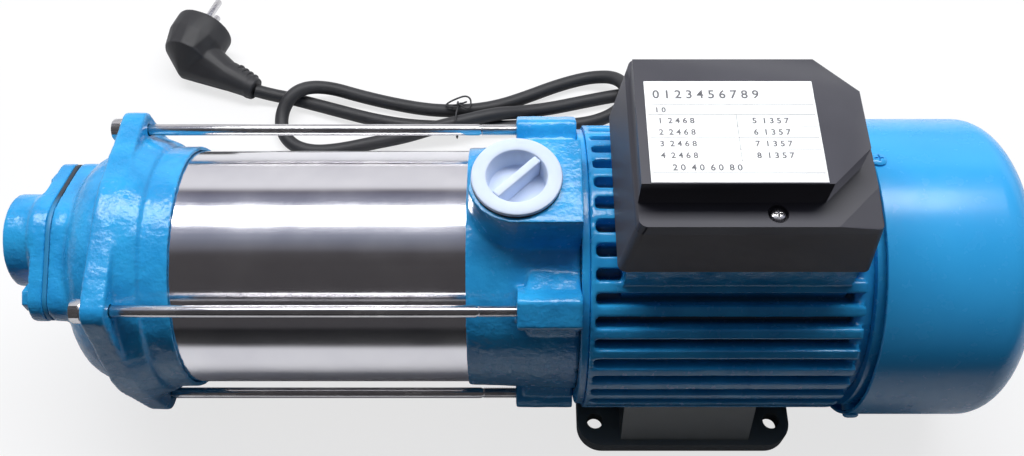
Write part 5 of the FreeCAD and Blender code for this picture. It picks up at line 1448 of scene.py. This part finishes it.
@dataclass
class Studio:
    """White floor, tent-like surroundings, one soft box and the camera."""

    camera_place: Point = (-97.2, -266.7, 578.4)
    camera_tilt: float = 30.22
    lens: float = 36.69
    key_angle: float = 20.0
    key_distance: float = 1150.0
    key_size: tuple[float, float] = (1500.0, 330.0)
    key_power: float = 15.0
    fill_place: Point = (-100.0, 950.0, 1450.0)
    fill_size: tuple[float, float] = (2600.0, 1600.0)
    fill_power: float = 5.0
    floor_white: float = 0.74
    sheet_edge: tuple[float, float] = (-0.33, -0.27)
    sheet_level: tuple[float, float] = (0.04, 0.8)
    sheet_share: float = 0.22

    def build(self) -> None:
        """Set up everything that isn't part of the pump."""
        self.floor()
        self.surroundings()
        self.lamps()
        self.camera()
        bpy.context.scene.view_settings.view_transform = "Standard"

    def floor(self) -> None:
        """White floor that keeps a soft shadow."""
        Bench.deselect()
        bpy.ops.mesh.primitive_plane_add(size=14, location=(0, 0, -0.0004))
        floor = bpy.context.object
        floor.name = "studio_floor"
        board = Board("studio_floor")
        board.set(Base_Color=(0.9, 0.9, 0.9, 1), Roughness=0.9)
        rays = board.add("LightPath").outputs
        seen = board.combine("MAXIMUM", rays["Is Camera Ray"], rays["Is Transmission Ray"])
        glow = board.add("Emission")
        glow.inputs["Color"].default_value = (1, 1, 1, 1)
        glow.inputs["Strength"].default_value = 1.0
        white = board.mix(self.floor_white, board.shader, glow)
        sheet = board.ramp(board.axis("Y"), *self.sheet_edge, *self.sheet_level)
        grey, gloss = board.add("BsdfDiffuse"), board.add("BsdfDiffuse")
        board.wire(board.combine("MULTIPLY", sheet, self.sheet_share), grey, "Color")
        board.wire(sheet, gloss, "Color")
        mirrored = board.mix(rays["Is Glossy Ray"], grey, gloss)
        both = board.mix(seen, mirrored, white)
        board.wire(both.outputs[0], board.tree.nodes["Material Output"], "Surface")
        floor.data.materials.append(board.owner)

    def surroundings(self) -> None:
        """White for the camera; for light and gloss a tent that is dark on the near side."""
        board = Board("studio_tent", world=True)
        bpy.context.scene.world = board.owner
        near = board.combine("MULTIPLY", board.axis("Y"), -1.0)
        angle = board.combine("ARCTAN2", near, board.axis("Z"))
        ramp = board.add("ValToRGB")
        board.wire(board.ramp(angle, -math.pi, math.pi), ramp, "Fac")
        stops = (
            (-180.0, (0.55, 0.55, 0.57)), (-96.0, (0.80, 0.80, 0.82)), (-93.0, (0.06, 0.06, 0.07)),
            (-90.0, (0.74, 0.74, 0.78)), (-54.0, (0.86, 0.86, 0.90)), (-50.0, (0.10, 0.09, 0.11)),
            (-46.0, (0.16, 0.16, 0.22)), (-32.0, (0.30, 0.32, 0.42)), (-10.0, (0.40, 0.42, 0.52)),
            (0.0, (0.24, 0.26, 0.33)), (12.0, (0.14, 0.14, 0.16)), (17.0, (0.066, 0.062, 0.065)),
            (88.0, (0.062, 0.060, 0.064)), (112.0, (0.10, 0.10, 0.11)), (180.0, (0.10, 0.10, 0.11)),
        )
        band = ramp.color_ramp
        band.elements[0].position = 0.0
        band.elements[0].color = (*stops[0][1], 1)
        band.elements[1].position = 1.0
        band.elements[1].color = (*stops[-1][1], 1)
        for degrees, colour in stops[1:-1]:
            stop = band.elements.new((degrees + 180.0) / 360.0)
            stop.color = (*colour, 1)
        tent, white = board.add("Background"), board.add("Background")
        board.wire(ramp.outputs["Color"], tent, "Color")
        white.inputs["Color"].default_value = (1, 1, 1, 1)
        rays = board.add("LightPath").outputs
        choose = board.mix(rays["Is Camera Ray"], tent, white)
        board.wire(choose.outputs[0], board.add("OutputWorld"), "Surface")

    def lamps(self) -> None:
        """A long soft box overhead, slightly behind, and a wide weak one above."""
        lean = math.radians(self.key_angle)
        aim = Vector((-95.0, 0.0, SHAFT_Z)) * MM
        place = aim + Vector((0.0, math.sin(lean), math.cos(lean))) * self.key_distance * MM
        self.lamp("soft_box", place, aim, self.key_size, self.key_power)
        fill = self.lamp("wide_fill", Vector(self.fill_place) * MM, aim, self.fill_size, self.fill_power)
        fill.visible_glossy = False

    def lamp(self, name: str, place: Vector, aim: Vector, size: tuple[float, float],
             power: float) -> Piece:
        """Add one rectangular lamp.

        Args:
            name: its name.
            place: where it hangs, in metres.
            aim: the point that it faces.
            size: length along X and width, in millimetres.
            power: watts.

        Returns:
            The lamp.
        """
        light = bpy.data.lights.new(name, "AREA")
        light.shape = "RECTANGLE"
        light.size, light.size_y = size[0] * MM, size[1] * MM
        light.energy = power
        lamp = bpy.data.objects.new(name, light)
        bpy.context.scene.collection.objects.link(lamp)
        lamp.location = place
        lamp.rotation_euler = (place - aim).to_track_quat("Z", "Y").to_euler()
        return lamp

    def camera(self) -> None:
        """The camera at the photograph's place and angle."""
        data = bpy.data.cameras.new("camera")
        data.sensor_fit = "HORIZONTAL"
        data.sensor_width = 36.0
        data.lens = self.lens
        data.clip_start = 0.01
        camera = bpy.data.objects.new("camera", data)
        bpy.context.scene.collection.objects.link(camera)
        camera.location = Vector(self.camera_place) * MM
        camera.rotation_euler = (math.radians(self.camera_tilt), 0.0, 0.0)
        bpy.context.scene.camera = camera


# The mains lead


@dataclass
class MainsLead:
    """Rubber lead from the gland through its hank on the floor to the plug."""

    radius: float = 4.5
    length: float = 1.01
    exit: Point = (12.0, 67.63, 149.37)
    riser: Sequence[Point] = (
        (12.0, 67.63, 149.37), (12.8, 80.5, 136.6), (17.0, 94.5, 121.0), (23.5, 108.0, 102.0),
        (31.5, 124.0, 81.5), (38.0, 138.5, 61.0), (40.6, 148.8, 44.7), (36.6, 157.8, 30.6),
        (27.4, 165.5, 18.3), (13.9, 171.2, 9.3), (-2.4, 174.2, 4.6), (-18.5, 173.8, 4.6),
    )
    first_strand: Sequence[Point] = (
        (-31.0, 171.6, 4.6), (-50.0, 167.0, 4.6), (-71.0, 161.6, 4.8), (-91.0, 155.8, 8.4),
        (-107.0, 150.8, 13.9), (-127.0, 144.6, 14.9), (-147.0, 140.2, 13.2), (-168.0, 137.0, 6.6),
        (-190.0, 133.2, 4.6), (-212.0, 127.6, 4.6), (-230.0, 126.0, 4.6), (-244.0, 131.4, 4.6),
        (-252.0, 142.5, 5.0), (-252.8, 155.5, 8.5), (-246.5, 166.0, 14.2), (-236.0, 172.6, 14.6),
        (-221.0, 175.0, 10.5),
    )
    second_strand: Sequence[Point] = (
        (-203.0, 172.4, 5.2), (-181.0, 166.3, 4.6), (-157.0, 161.0, 4.6), (-139.0, 159.6, 4.6),
        (-120.0, 160.8, 4.6), (-104.0, 164.6, 4.6), (-87.0, 171.6, 4.6), (-70.0, 179.6, 4.6),
        (-54.0, 185.6, 4.6), (-40.0, 187.6, 6.5), (-26.5, 183.4, 11.5), (-19.0, 172.4, 14.6),
        (-20.5, 159.6, 14.2), (-31.0, 151.2, 10.0), (-49.0, 148.0, 5.2),
    )
    third_strand: Sequence[Point] = (
        (-72.0, 147.6, 4.6), (-96.0, 146.6, 4.6), (-120.0, 146.0, 4.6), (-145.0, 146.0, 4.6),
        (-168.0, 147.6, 4.6), (-190.0, 152.0, 4.6), (-212.0, 158.8, 4.6), (-232.0, 165.2, 4.6),
        (-249.0, 170.4, 4.7), (-262.0, 172.6, 5.6), (-272.6, 174.6, 7.8),
    )

    def route(self) -> list[Point]:
        """All points of the lead, from the gland to the plug."""
        return [*self.riser, *self.first_strand, *self.second_strand, *self.third_strand]

    def build(self) -> Piece:
        """Lay the lead as one spline.

        Returns:
            The curve object.
        """
        piece = Bench.strand("power_lead", self.route(), self.radius, 5)
        fit(piece, "power_lead", "rubber", ("power_cord", "cord_hank", "plug_lead"), smooth=0)
        Vector(self.exit) * MM
        return piece


def dress_nodes() -> None:
    """Give every node that stays as it is its finish."""
    dress("gasket", "barrel_seals")
    dress("stainless", "impeller_nut", "front_bearing_cage", "rear_bearing_cage")
    dress("zinc", "foot_screws")
    dress("ground", "shaft", "seal_head", "front_bearing_outer", "front_bearing_inner",
          "front_bearing_balls", "rear_bearing_outer", "rear_bearing_inner", "rear_bearing_balls")
    dress("laminations", "stator_core", "rotor_core")
    dress("copper", "stator_windings")
    dress("box", "terminal_block")
    dress("foot", "cooling_fan")
    dress("inner", *(f"{kind}_{n}" for kind in ("stage_diffuser", "impeller") for n in range(1, 7)))
    dress("ceramic", "seal_seat")
    dress("capacitor", "run_capacitor")


def main() -> None:
    """Build the studio and every piece, in order."""
    logging.basicConfig(level=logging.INFO, format="%(name)s: %(message)s")
    Studio().build()
    for part in (InletPort, SuctionHousing, Barrel, TieRods, DischargeHousing, OutletPlug, Motor, FanCover,
                 Foot, TerminalBox, MainsPlug, MainsLead):
        part().build()
    dress_nodes()


if __name__ == "__main__":
    main()
